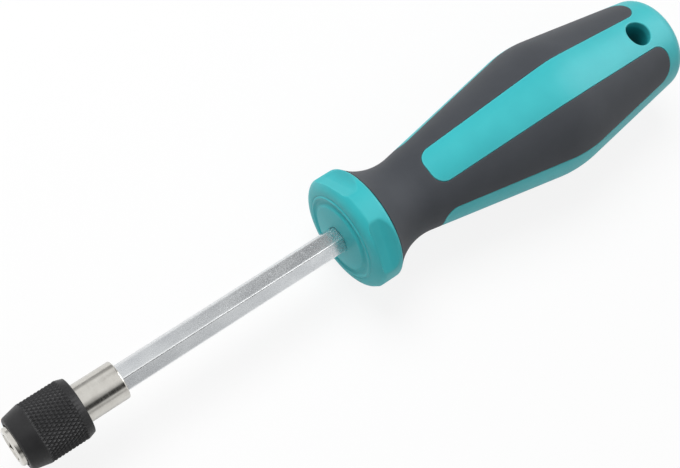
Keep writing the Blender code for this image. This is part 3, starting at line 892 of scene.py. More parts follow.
@dataclass(frozen=True)
class Handle:
    """The handle: hard plastic collar, strips and end, and the soft grip between them.

    Attributes:
        hub: Front of the hub.
        collar_rear: Rear face of the collar.
        collar_radius: Radius of the collar's rim.
        flat_half_angle: Half of the angle that a collar flat takes.
        flat_front: From the hub's front to the front ends of the flats.
        flat_lip: How far a flat runs from there to its full depth.
        flat_rim: Full round rim behind the flats.
        flat_cove: Length over which a flat runs up to that rim.
        flat_lift: How far a flat rises past its ends, in depths of the flat.
        flat_rise: Share of that lift that it has at the end of the cove.
        flat_round: Rounding between a flat and the round outline.
        flat_least: Least half angle that a row's points across a flat are spread over.
        flat_rub_and_highlight: Wear and painted highlight along the flats' edges.
        brow_foot: From the hub's front to the foot of the brow outside the ridge.
        brow: Length and height of the brow from there to the rim.
        brow_turn: Angle of the ellipse that the brow takes.
        brow_rub_and_highlight: Wear and painted highlight along the brow's edge at the rim.
        hub_radius: Radius of the hub.
        hub_crown: How far the hub's edge lies behind its middle.
        face_rings: Corners of the groove, the ridge and the groove outside it, from the hub's front.
        ridge: Radius of the ridge's middle, and from the hub's front to behind its sides.
        ridge_rub_and_highlight: Wear and painted highlight along the ridge.
        rear_chamfer: Length and depth of the collar's rear chamfer.
        rear_rub_and_highlight: Wear and painted highlight along the collar's rear edge.
        rear_inner: Radius where the collar's rear face is closed.
        corner_round: Rounding of the collar outline's corners.
        outline_step: Longest step along the collar's outline.
        tip: Front tip of the strips.
        lobe_end: Rear ends of the grip's lobes.
        end: Rear end of the handle.
        neck: Arc of the neck.
        belly: Arc of the belly.
        butt: Arc of the rounded end.
        end_rings: Radii of the rings on the flat middle of the end, as shares of its own.
        strip_half: Half width of a strip at its tip, at the belly and at the lobes' ends.
        tip_round: Corner radius of a strip's tip.
        lobe_round: Corner radius of a lobe's rear end.
        wall: Thickness of the soft grip.
        seam: Half of the gap between the two plastics.
        roll: Radius of the edges along that gap.
        edge_light_width: How far from that gap the plastics are lightened, for wear and a painted edge
            highlight.
        band_gap: Gap between the collar and the grip.
        hole: Place of the hanging hole along the tool.
        hole_radius: Its radius.
        hole_round: Radius of its rim.
        hole_draw: Power that the rings round it are spaced by, which draws them in to the rim.
        hole_wear: How rubbed its rim is.
        hole_painted_shade: How much painted shade its wall takes at the top and at the bottom.
        hole_near: From its middle to where the rows along a strip get closer.
        hole_block: From its middle and from the lobes' ends to the block of cells left out for it.
        hole_share: Share of the strip's half width that the block takes.
        bore_flat: Half of the shaft bore's width across its flats.
        bore_lip: Corners of the bore's rim, from the hub's front and from the hexagon.
        bore_margin: From the bore's corners to the start of the hub's crown.
        bore_depth: Depth of the bore.
        clocking: Turn of a shaft flat from +Z towards +Y.
    """

    hub: float = 74.85 * MM
    collar_rear: float = 83.4 * MM
    collar_radius: float = 15.25 * MM
    flat_half_angle: float = math.radians(29.0)
    flat_front: float = 2.0 * MM
    flat_lip: float = 0.6 * MM
    flat_rim: float = 0.5 * MM
    flat_cove: float = 3.05 * MM
    flat_lift: float = 1.25
    flat_rise: float = 0.86
    flat_round: float = 0.28 * MM
    flat_least: float = math.radians(6.0)
    flat_rub_and_highlight: Rub = Rub(0.4, 0.16 * MM, 13.0 * MM)
    brow_foot: float = 1.0 * MM
    brow: tuple[float, float] = (2.0 * MM, 3.45 * MM)
    brow_turn: float = math.radians(62.0)
    brow_rub_and_highlight: Rub = Rub(0.35, 0.22 * MM, 15.0 * MM)
    hub_radius: float = 8.9 * MM
    hub_crown: float = 0.5 * MM
    face_rings: tuple[tuple[float, float], ...] = (
        (1.25 * MM, 9.5 * MM), (1.25 * MM, 10.4 * MM), (0.75 * MM, 10.85 * MM),
        (0.75 * MM, 11.25 * MM), (1.15 * MM, 11.6 * MM))
    ridge: tuple[float, float] = (11.0 * MM, 1.4 * MM)
    ridge_rub_and_highlight: Rub = Rub(0.6, 0.3 * MM)
    rear_chamfer: tuple[float, float] = (0.55 * MM, 0.6 * MM)
    rear_rub_and_highlight: Rub = Rub(1.0, 0.3 * MM, 14.0 * MM)
    rear_inner: float = 9.0 * MM
    corner_round: float = 0.36 * MM
    outline_step: float = 0.12 * MM
    tip: float = 100.25 * MM
    lobe_end: float = 176.7 * MM
    end: float = 183.6 * MM
    neck: Arc = Arc(94.65 * MM, 27.0 * MM, -16.65 * MM)
    belly: Arc = Arc(142.65 * MM, -15.0 * MM, 33.1 * MM)
    butt: Arc = Arc(179.1 * MM, 8.6 * MM, 4.5 * MM)
    end_rings: tuple[float, float] = (0.6, 0.0)
    strip_half: tuple[float, float, float] = (4.9 * MM, 6.0 * MM, 5.25 * MM)
    tip_round: float = 3.8 * MM
    lobe_round: float = 4.05 * MM
    wall: float = 2.4 * MM
    seam: float = 0.04 * MM
    roll: float = 0.14 * MM
    edge_light_width: float = 0.35 * MM
    band_gap: float = 0.1 * MM
    hole: float = 171.1 * MM
    hole_radius: float = 3.5 * MM
    hole_round: float = 0.45 * MM
    hole_draw: float = 0.7
    hole_wear: float = 0.8
    hole_painted_shade: tuple[float, float] = (0.5, 1.0)
    hole_near: float = 6.0 * MM
    hole_block: tuple[float, float] = (5.0 * MM, 0.55 * MM)
    hole_share: float = 0.86
    bore_flat: float = 3.215 * MM
    bore_lip: tuple[tuple[float, float], ...] = (
        (0.10 * MM, 0.22 * MM), (0.12 * MM, 0.10 * MM), (0.19 * MM, 0.02 * MM), (0.4 * MM, 0.0))
    bore_margin: float = 0.35 * MM
    bore_depth: float = 7.0 * MM
    clocking: float = SHAFT_TURN

    def radius(self, x: Grid) -> Grid:
        """Radius of the handle: hollow neck, straight taper, belly, straight taper, rounded end.

        Args:
            x: Places along the tool.

        Returns:
            The radii.
        """
        rise, fall = self.neck.slope_to(self.belly), self.belly.slope_to(self.butt)
        neck_end, belly_start = self.neck.touch(rise), self.belly.touch(rise)
        belly_end, butt_start = self.belly.touch(fall), self.butt.touch(fall)
        front = self.neck.height(np.float64(neck_end)) + (x - neck_end) * math.tan(rise)
        rear = self.belly.height(np.float64(belly_end)) + (x - belly_end) * math.tan(fall)
        places = [x <= neck_end, x < belly_start, x <= belly_end, x < butt_start]
        shapes = [self.neck.height(x), front, self.belly.height(x), rear]
        return np.select(places, shapes, self.butt.height(np.minimum(x, self.end)))

    def half_width(self, x: Grid) -> Grid:
        """Half width of a strip: widest over the belly, run out to nothing at the handle's end."""
        places = [self.tip, self.belly.along, self.lobe_end, self.end]
        return np.interp(x, places, [*self.strip_half, 0.0])

    def face(self, x: Grid, y: Grid) -> Grid:
        """Height of the hard plastic over a strip: the root of the handle's radius^2 - y^2."""
        return np.sqrt(np.maximum(self.radius(x) ** 2 - y ** 2, 0.0))

    def border(self, grow: float) -> tuple[Grid, Grid]:
        """The border between a strip and the grip, from the strip's tip to the lobes' ends.

        A quarter circle rounds the tip's corner, the strip's half width follows, and a quarter
        circle that turns outwards rounds the end of the lobe beside it.

        Args:
            grow: How much the strip's window is widened all round.

        Returns:
            Places along the tool, and the half widths there.
        """
        turn = np.linspace(0.0, QUARTER, 15)
        corner, flare = self.tip + self.tip_round, self.lobe_end - self.lobe_round
        closer = self.hole - self.hole_near
        middle = np.concatenate([np.linspace(corner, closer, 64)[1:],
                                 np.linspace(closer, flare, 18)[1:-1]])
        inner = self.half_width(np.float64(corner)) - self.tip_round
        x = [corner - self.tip_round * np.cos(turn), middle, flare + self.lobe_round * np.sin(turn)]
        y = [inner + self.tip_round * np.sin(turn), self.half_width(middle),
             self.half_width(np.float64(flare)) + self.lobe_round * (1.0 - np.cos(turn))]
        return np.concatenate(x) - grow, np.concatenate(y) + grow

    def flat_height(self, x: Grid) -> Grid:
        """Distance of the collar's flats from the axis, lifted past the rim before and behind them.

        In front it falls along a quarter ellipse as long as the lip, and behind it rises with the
        square of the way along the cove.

        Args:
            x: Places along the tool.

        Returns:
            The distances.
        """
        flat = self.collar_radius * math.cos(self.flat_half_angle)
        lift = self.flat_lift * (self.collar_radius - flat)
        short = np.clip(1.0 - (x - self.hub - self.flat_front) / self.flat_lip, 0.0, 1.0)
        past = np.maximum(1.0 + (x - self.collar_rear + self.flat_rim) / self.flat_cove, 0.0)
        return flat + lift * np.maximum(1.0 - np.sqrt(1.0 - short ** 2), self.flat_rise * past ** 2)

    def collar_outline(self) -> Grid:
        """The collar's outline from the shaft's bore over the hub, groove, ridge, brow and rim.

        The hub's crown falls back with the square of the radius. The brow is part of an ellipse,
        from its foot outside the ridge to an edge at the rim.

        Returns:
            The (x, radius) points.
        """
        front, rear, rim = self.hub, self.collar_rear, self.collar_radius
        inner = self.bore_flat / math.cos(SIXTH / 2) + self.bore_margin
        shares = np.linspace(inner / self.hub_radius, 1.0, 6)
        crown = zip(front + self.hub_crown * shares ** 2, self.hub_radius * shares)
        rings = [(front + along, radius) for along, radius in self.face_rings]
        turn = np.linspace(0.0, self.brow_turn, 9)
        length, height = self.brow
        along = length * (1.0 - np.cos(turn)) / (1.0 - math.cos(self.brow_turn))
        up = height * np.sin(turn) / math.sin(self.brow_turn)
        brow = zip(front + self.brow_foot + along, rim - height + up)
        back, down = self.rear_chamfer
        corners = [*crown, *rings, *brow, (rear - back, rim), (rear, rim - down),
                   (rear, self.rear_inner)]
        return filled_in(rounded(corners, self.corner_round, steps=6), self.outline_step)

    def collar_wear_and_highlights(self, x: Grid, radius: Grid, plane: Grid) -> Grid:
        """How much the collar is lightened: the wear and painted highlight of each of its edges, added
        up.

        Args:
            x: Places along the tool.
            radius: Radii of the outline there.
            plane: Distances from the axis to the flats' planes.

        Returns:
            The wear, from 0 to 1.
        """
        middle, behind = self.ridge
        # Each edge is lightened: wear, and a painted edge highlight.
        flats = self.flat_rub_and_highlight.wear_and_painted_light(radius, plane, radius)
        rear = self.rear_rub_and_highlight.wear_and_painted_light(x, self.collar_rear, radius)
        ridge = self.ridge_rub_and_highlight.wear_and_painted_light(radius, middle, radius) * (x < self.hub + behind)
        brow = self.brow_rub_and_highlight.wear_and_painted_light(x, self.hub + self.brow_foot + self.brow[0], radius)
        return np.clip(flats + rear + ridge + brow, 0.0, 1.0)

    def collar(self) -> list[Patch]:
        """The collar: its turned outline, cut to the lesser of its radius and the flats' planes.

        A flat's plane is at its height over the cosine of the angle from its middle. Each row's
        points gather at the line where the two meet.

        Returns:
            The collar's skin.
        """
        outline = self.collar_outline()
        x, radius = outline[:, :1], outline[:, 1:]
        height = self.flat_height(x)
        meet = np.arccos(np.clip(height / radius, 0.0, 1.0))
        meet = np.clip(meet, self.flat_least, self.flat_half_angle)
        flat, land = meet * gathered(28), between_sides(meet, 30)
        angle = np.concatenate([np.concatenate([flat[:, :-1], land[:, :-1]], axis=1) + i * QUARTER
                                for i in range(SIDES)], axis=1)
        angle = np.concatenate([angle, angle[:, :1] + 2 * math.pi], axis=1)
        off_middle = (angle + QUARTER / 2) % QUARTER - QUARTER / 2
        plane = height / np.cos(off_middle)
        skin = soft_min(np.broadcast_to(radius, plane.shape), plane, self.flat_round)
        turn = angle + QUARTER / 2
        shell = Patch(polar(x, skin, turn), self.collar_wear_and_highlights(x, radius, plane))
        section = hexagon(self.bore_flat, turn[0], self.clocking)
        lip = np.array([*self.bore_lip, (self.bore_depth, 0.0)])
        bore = polar(self.hub + lip[:, :1], section[None] + lip[:, 1:], turn[0][None])
        ring = np.stack([shell.points[0], bore[0]])
        seat = polar(np.float64(self.hub + self.bore_depth), 0.0 * section, turn[0])
        closing = polar(np.float64(self.collar_rear), 0.0 * section, turn[-1])
        return [shell, Patch(ring), Patch(bore), Patch(np.stack([bore[-1], seat])),
                Patch(np.stack([shell.points[-1], closing]))]

    def hole_rim(self, block: Grid) -> Patch:
        """The strip's face drawn in to the hanging hole, its round rim and its wall to the middle.

        Rings run from the block's border in to the rim, each point on its own spoke from the
        hole's middle. The rim is a quarter circle, and the wall goes straight down to z = 0.

        Args:
            block: The part of the strip's face round the hole, whose border the rings start from.

        Returns:
            The patch of rings.
        """
        loop = np.concatenate([block[0, :-1], block[:-1, -1], block[-1, :0:-1], block[:0:-1, 0],
                               block[:1, 0]])
        across = loop[:, :2] - (self.hole, 0.0)
        turn, reach = np.arctan2(across[:, 1], across[:, 0]), np.linalg.norm(across, axis=1)
        rim = self.hole_radius + self.hole_round
        share = np.linspace(0.0, 1.0, 10)[:, None] ** self.hole_draw
        bend = np.linspace(0.0, QUARTER, 8)[1:, None]
        radius = np.concatenate([reach + (rim - reach) * share,
                                 rim - self.hole_round * np.sin(bend) + 0.0 * reach])
        sink = np.concatenate([0.0 * share, self.hole_round * (1.0 - np.cos(bend))])
        x, y = self.hole + radius * np.cos(turn), radius * np.sin(turn)
        top = np.stack([x, y, self.face(x, y) - sink], axis=-1)
        down = np.linspace(1.0, 0.0, 7)[1:, None, None] * (0.0, 0.0, 1.0)
        wall = top[-1] * (1.0, 1.0, 0.0) + top[-1][:, 2:] * down
        rings = np.concatenate([top, wall])
        wear_and_painted_light = np.zeros(rings.shape[:2])
        wear_and_painted_light[len(share):len(top)] = self.hole_wear
        # The wall is painted darker, as shade, more so towards its bottom.
        wear_and_painted_light[len(top):] = -np.linspace(*self.hole_painted_shade, len(wall))[:, None]
        return Patch(rings, wear_and_painted_light)

    def seam_edge(self, strip: Grid, lip: Grid) -> Grid:
        """The hard plastic's edge along the seam: a strip's sides and tip, and the end beside it."""
        lines = [strip[:, 0], strip[:, -1], strip[0], lip, turned_about(lip, -QUARTER)]
        return np.concatenate([pieces_of(line) for line in lines])

    def sunk(self, points: Grid, edge: Grid) -> Patch:
        """A patch lowered towards the axis by the rolled edge, and lightened along it for wear and a
        painted edge highlight.

        Args:
            points: The patch's points before they are lowered.
            edge: The edge's straight pieces.

        Returns:
            The patch.
        """
        gap = nearest(points, edge)
        return Patch(lowered(points, rolled(gap, self.roll)), bell(gap, 0.0, self.edge_light_width))

    def end_rows(self, start: float) -> tuple[Grid, Grid]:
        """Rows of the handle's end: straight taper, then the arc of the rounded end.

        Args:
            start: Where the first row lies.

        Returns:
            Places along the tool, and the round radius there.
        """
        bend = np.linspace(QUARTER + self.belly.slope_to(self.butt), 0.0, 22)
        arc_x = self.butt.along + self.butt.radius * np.cos(bend)
        arc_r = self.butt.out + self.butt.radius * np.sin(bend)
        taper = start + (arc_x[0] - start) * (1.0 - np.cos(np.linspace(0.0, QUARTER, 26)))
        return np.concatenate([taper, arc_x[1:]]), np.concatenate([self.radius(taper), arc_r[1:]])

    def strips(self) -> list[Patch]:
        """The hard plastic behind the collar: an inner core, four strips and the rounded end.

        A strip is the grid of its border's half width times gathered shares across, lifted to the
        strip's face, less the rolled edge. Walls go down from its edges to the core between.

        Returns:
            The skin.
        """
        x, half = self.border(-self.seam)
        shares = gathered(32)
        radius, floor = self.radius(x), self.radius(x) - self.wall - 3 * self.seam
        y = half[:, None] * shares
        face = np.stack([np.broadcast_to(x[:, None], y.shape), y, self.face(x[:, None], y)], axis=-1)
        side = np.arcsin(half[-1] / radius[-1])
        lip_angle = between_sides(side, 16)
        edge = self.seam_edge(face, polar(x[-1], radius[-1], lip_angle))
        strip = self.sunk(face, edge)

        end_x, end_r = self.end_rows(x[-1])
        end_angle = np.concatenate([np.arcsin(half[-1] * shares / radius[-1])[:-1], lip_angle])
        end = self.sunk(polar(end_x[:, None], end_r[:, None], end_angle), edge)
        rings = np.array(self.end_rings)[:, None] * self.butt.out
        middle = polar(self.end, rings, end_angle[None])

        bed_angle = between_sides(np.arcsin(half / floor)[:, None], 16)
        bed = polar(x[:, None], floor[:, None], bed_angle)
        foot = np.sqrt(floor ** 2 - half ** 2)
        tip_angle = np.arcsin(y[0] / floor[0])
        core_x = np.linspace(self.collar_rear, x[0], 12)
        core_angle = np.concatenate([tip_angle[:-1], bed_angle[0]])
        core = polar(core_x[:, None], (self.radius(core_x) - self.radius(x[0]) + floor[0])[:, None],
                     core_angle)
        walls = [
            np.stack([strip.points[:, -1], np.stack([x, half, foot], axis=-1)]),
            np.stack([strip.points[:, 0], np.stack([x, -half, foot], axis=-1)]),
            np.stack([strip.points[0], polar(x[0], floor[0], tip_angle)]),
            np.stack([end.points[0, len(shares) - 1:], bed[-1]]),
            np.concatenate([end.points[-1:], middle]),
            np.stack([core[0], polar(self.collar_rear, 0.0, core_angle)]),
        ]

        before, behind = self.hole_block
        rows = np.flatnonzero((x > self.hole - before) & (x < self.lobe_end - behind))
        columns = np.flatnonzero(np.abs(shares) < self.hole_share)
        keep = np.ones((len(x) - 1, len(shares) - 1), bool)
        keep[rows[0]:rows[-1], columns[0]:columns[-1]] = False
        rim = self.hole_rim(strip.points[np.ix_(rows, columns)])
        holed = [Patch(strip.points, strip.wear_and_painted_light, keep), rim]
        common = [end, Patch(bed), Patch(core), *map(Patch, walls)]
        return [patch.round_by(i * QUARTER) for i in range(SIDES)
                for patch in (holed if i % 2 == 0 else [strip]) + common]

    def grip(self) -> list[Patch]:
        """The soft grip: a band round the neck, and four lobes between the strips behind it.

        A lobe's angles run from the border on one side, the arcsine of half width over radius,
        to the border on the other. Its skin is the handle's radius less the rolled edge, its
        inner side lies a wall deeper, and walls close it along the border.

        Returns:
            The skin.
        """
        x, half = self.border(self.seam)
        radius = self.radius(x)
        low = np.arcsin(half / radius)
        angle = between_sides(low[:, None], 48)
        lobe = polar(x[:, None], radius[:, None], angle)
        tip_angle = low[0] * gathered(12)
        tip = polar(x[0], radius[0], tip_angle)
        lines = [lobe[:, 0], lobe[:, -1], lobe[-1], tip, turned_about(tip, QUARTER)]
        edge = np.concatenate([pieces_of(line) for line in lines])
        front = self.collar_rear + self.band_gap
        band_x = x[0] + (front - x[0]) * (1.0 - np.sin(np.linspace(QUARTER, 0.0, 48)))
        band_angle = np.concatenate([tip_angle[:-1], angle[0]])
        band = polar(band_x[:, None], self.radius(band_x)[:, None], band_angle)
        ends = np.concatenate([edge, turned_about(edge, -QUARTER)])
        outer, ring = self.sunk(lobe, edge), self.sunk(band, ends)
        inner, ring_in = lowered(lobe, self.wall), lowered(band, self.wall)
        tips = len(tip_angle)
        walls = [
            np.stack([outer.points[:, 0], inner[:, 0]]),
            np.stack([outer.points[:, -1], inner[:, -1]]),
            np.stack([outer.points[-1], inner[-1]]),
            np.stack([ring.points[0, :tips], ring_in[0, :tips]]),
            np.stack([ring.points[-1], ring_in[-1]]),
        ]
        own = [outer, ring, *map(Patch, [inner, ring_in, *walls])]
        return [patch.round_by(i * QUARTER) for patch in own for i in range(SIDES)]

    def build(self) -> None:
        """Builds and dresses the collar, the strips and the grip."""
        put("handle_collar", self.collar(), TEAL, Body.TOOL, "handle_core")
        put("handle_strips", self.strips(), TEAL, Body.TOOL, "handle_core")
        put("handle_grip", self.grip(), GREY, Body.TOOL, "soft_grip")


# Shaft


@dataclass(frozen=True)
class Shaft:
    """The hexagon shaft.

    Attributes:
        front: Its front end, inside the socket.
        rear: Its rear end, inside the handle.
        flat: Half of its width across the flats.
        corner: Radius that its corners are drawn to.
        chamfer: Chamfer of its ends.
        blend: Rounding between its flats and its corners.
        rubbed: Angle from a corner over which it is lightened, for wear and a painted edge highlight.
        clocking: Turn of a flat from +Z towards +Y.
    """

    front: float = 3.35 * MM
    rear: float = 126.85 * MM
    flat: float = 3.175 * MM
    corner: float = 3.6 * MM
    chamfer: float = 0.5 * MM
    blend: float = 0.10 * MM
    rubbed: float = math.radians(4.0)
    clocking: float = SHAFT_TURN

    def skin(self) -> list[Patch]:
        """The bar: the lesser of the hexagon and the round corners, drawn in at both ends.

        Returns:
            The skin.
        """
        angle = hexagon_angles(self.clocking, steps=20)
        sharp = hexagon(self.flat, angle, self.clocking)
        section = soft_min(sharp, np.float64(self.corner), self.blend)
        inset = np.linspace(self.chamfer, 0.0, 4)
        body = np.linspace(self.front + self.chamfer, self.rear - self.chamfer, 60)
        x = np.concatenate([self.front + self.chamfer - inset, body[1:-1], self.rear - inset[::-1]])
        x = np.sort(np.concatenate([x, [self.front, self.rear]]))
        from_end = np.minimum(x - self.front, self.rear - x)
        limit = self.corner - self.chamfer + np.minimum(from_end, self.chamfer)
        radius = np.minimum(section, limit[:, None])
        radius[[0, -1]] = 0.0
        # Corners lightened: wear, and a painted edge highlight.
        wear_and_painted_light = bell(np.abs(off_flat(angle, self.clocking)), SIXTH / 2, self.rubbed)
        return [Patch(polar(x[:, None], radius, angle), np.broadcast_to(wear_and_painted_light, radius.shape))]

    def build(self) -> None:
        """Builds and dresses the shaft."""
        put("hexagon_shaft", self.skin(), ZINC, Body.TOOL, "hex_shaft")


# Bit socket


@dataclass(frozen=True)
class BitSocket:
    """The socket tube, the magnet in it, its two stop rings and the locking ball.

    Attributes:
        mouth: Front face of the tube.
        tail: Rear face of the tube.
        radius: Radius of the tube.
        bore: Half of the hexagon bore's width across its flats.
        clocking: Turn of a bore flat from +Z towards +Y.
        lead_in: Depth of the cone that leads a bit in.
        tail_round: Radius of the rear edge.
        mouth_chamfer: Chamfer of the front edge.
        mouth_round: Rounding of that chamfer's corners.
        mouth_rubbed: How far from the mouth the tube is rubbed.
        face_edge: From the bore's corners to the inner edges of the end faces.
        front_run: How far from the mouth the front edge's outline starts.
        tail_run: Where along the tool the rear edge's outline stops.
        front_ring: Place and wire radius of the front stop ring.
        rear_ring: Place and wire radius of the rear stop ring.
        ring_gap: Half of a stop ring's opening.
        groove_gap: Clearance of a ring in its groove.
        magnet_length: Length of the magnet.
        magnet_radius: Radius of the magnet.
        magnet_round: Rounding of the magnet's edges.
        ball: Place of the ball along the tool, and its distance from the axis.
        ball_radius: Radius of the ball.
        ball_gap: Clearance of the ball in its hole.
        ball_cut: Where the hole's cutter starts from the axis, and how far past the tube it goes.
    """

    mouth: float = -15.85 * MM
    tail: float = 12.05 * MM
    radius: float = 4.85 * MM
    bore: float = 3.225 * MM
    clocking: float = SHAFT_TURN
    lead_in: float = 0.55 * MM
    tail_round: float = 0.9 * MM
    mouth_chamfer: float = 0.35 * MM
    mouth_round: float = 0.12 * MM
    mouth_rubbed: float = 0.4 * MM
    face_edge: float = 0.2 * MM
    front_run: float = 1.4 * MM
    tail_run: float = 3.0 * MM
    front_ring: tuple[float, float] = (-14.0 * MM, 0.3 * MM)
    rear_ring: tuple[float, float] = (0.55 * MM, 0.4 * MM)
    ring_gap: float = math.radians(12.0)
    groove_gap: float = 0.15 * MM
    magnet_length: float = 3.2 * MM
    magnet_radius: float = 3.025 * MM
    magnet_round: float = 0.25 * MM
    ball: tuple[float, float] = (-8.0 * MM, 4.2239 * MM)
    ball_radius: float = 1.25 * MM
    ball_gap: float = 0.15 * MM
    ball_cut: tuple[float, float] = (2.0 * MM, 1.0 * MM)

    def groove(self, ring: tuple[float, float]) -> list[tuple[float, float]]:
        """Corners of a stop ring's groove, from its rear side to its front side.

        Args:
            ring: The ring's place along the tool and its wire radius.

        Returns:
            The (x, radius) corners.
        """
        half = ring[1] + self.groove_gap
        front, rear, floor = ring[0] - half, ring[0] + half, self.radius - half
        return [(rear, self.radius), (rear, floor), (front, floor), (front, self.radius)]

    def tube_skin(self) -> list[Patch]:
        """The tube: a turned outside, and a bore that is the greater of the hexagon and a cone.

        Returns:
            The skin.
        """
        angle = hexagon_angles(self.clocking, steps=24)
        corner, radius, chamfer = self.bore / math.cos(SIXTH / 2), self.radius, self.mouth_chamfer
        edge = corner + self.face_edge
        tail = rounded([(self.tail, edge), (self.tail, radius), (self.tail_run, radius)],
                       self.tail_round, steps=10)
        front = rounded([(self.mouth + self.front_run, radius), (self.mouth + chamfer, radius),
                         (self.mouth, radius - chamfer), (self.mouth, edge)], self.mouth_round)
        grooves = np.array(self.groove(self.rear_ring) + self.groove(self.front_ring))
        outline = np.concatenate([tail, grooves, front])
        shell = polar(outline[:, :1], outline[:, 1:], angle[None])
        rubbed = bell(outline[:, 0], self.mouth, self.mouth_rubbed)
        depth = np.append(np.linspace(0.0, self.lead_in, 9), self.tail - self.mouth)[:, None]
        cone = corner - np.minimum(depth, self.lead_in)
        section = np.maximum(hexagon(self.bore, angle, self.clocking), cone)
        bore = polar(self.mouth + depth, section, angle)
        return [Patch(shell, np.repeat(rubbed[:, None], len(angle), axis=1)), Patch(bore),
                Patch(np.stack([shell[-1], bore[0]])), Patch(np.stack([bore[-1], shell[0]]))]

    def ball_way(self) -> Grid:
        """Unit vector from the axis to the ball: a corner of the hexagon."""
        corner = self.clocking - SIXTH / 2
        return np.array([0.0, math.sin(corner), math.cos(corner)])

    def bored(self, piece: bpy.types.Object) -> None:
        """Cuts the ball's hole into the tube's wall with a round cutter.

        Args:
            piece: The tube.
        """
        out = self.ball_way()
        start, past = self.ball_cut
        steps = np.linspace(start, self.radius + past, 3)
        path = np.array([self.ball[0], 0.0, 0.0]) + steps[:, None] * out
        side = np.cross(out, (1.0, 0.0, 0.0))
        across = [np.broadcast_to(vector, path.shape) for vector in ((1.0, 0.0, 0.0), side)]
        skin = tube(path, *across, self.ball_radius + self.ball_gap, around=40)
        cutter = placed("ball_hole", sewn("ball_hole", [Patch(skin)]))
        cut = piece.modifiers.new("ball_hole", "BOOLEAN")
        cut.object = cutter
        bpy.context.view_layer.update()
        result = bpy.data.meshes.new_from_object(
            piece.evaluated_get(bpy.context.evaluated_depsgraph_get()))
        piece.modifiers.clear()
        piece.data = result
        result.set_sharp_from_angle(angle=SHARP)
        bpy.data.objects.remove(cutter)

    def ring(self, ring: tuple[float, float]) -> list[Patch]:
        """A stop ring: round wire on a circle of the tube's radius, open below.

        Args:
            ring: Its place along the tool and its wire radius.

        Returns:
            The skin.
        """
        angle = np.linspace(math.pi + self.ring_gap, 3 * math.pi - self.ring_gap, 97)
        out = polar(0.0, 1.0, angle)
        path = out * self.radius + (ring[0], 0.0, 0.0)
        along = np.broadcast_to((1.0, 0.0, 0.0), out.shape)
        return [Patch(tube(path, out, along, ring[1], around=16))]

    def ball_skin(self) -> list[Patch]:
        """The ball: its centre plus its radius along every direction, by two angles.

        Returns:
            The skin.
        """
        rise, turn = np.linspace(0.0, math.pi, 33)[:, None], np.linspace(0.0, 2 * math.pi, 65)
        way = np.stack([np.cos(rise) + 0.0 * turn, np.sin(rise) * np.sin(turn),
                        np.sin(rise) * np.cos(turn)], axis=-1)
        centre = self.ball_way() * self.ball[1] + (self.ball[0], 0.0, 0.0)
        return [Patch(centre + self.ball_radius * way)]

    def build(self) -> None:
        """Builds and dresses the tube, the magnet, the rings and the ball."""
        tube_piece = put("socket_tube", self.tube_skin(), NICKEL, Body.TOOL, "bit_socket")
        self.bored(tube_piece)
        corners = [(0.0, 0.0), (0.0, self.magnet_radius), (self.magnet_length, self.magnet_radius),
                   (self.magnet_length, 0.0)]
        disc = turned(rounded(corners, self.magnet_round), steps=72)
        put("seat_magnet", [disc], MAGNET, Body.TOOL, "magnet")
        put("front_stop_ring", self.ring(self.front_ring), SPRING, Body.TOOL, "front_ring")
        put("rear_stop_ring", self.ring(self.rear_ring), SPRING, Body.TOOL, "rear_ring")
        put("lock_ball", self.ball_skin(), SPRING, Body.BALL, "locking_ball")


# Release sleeve


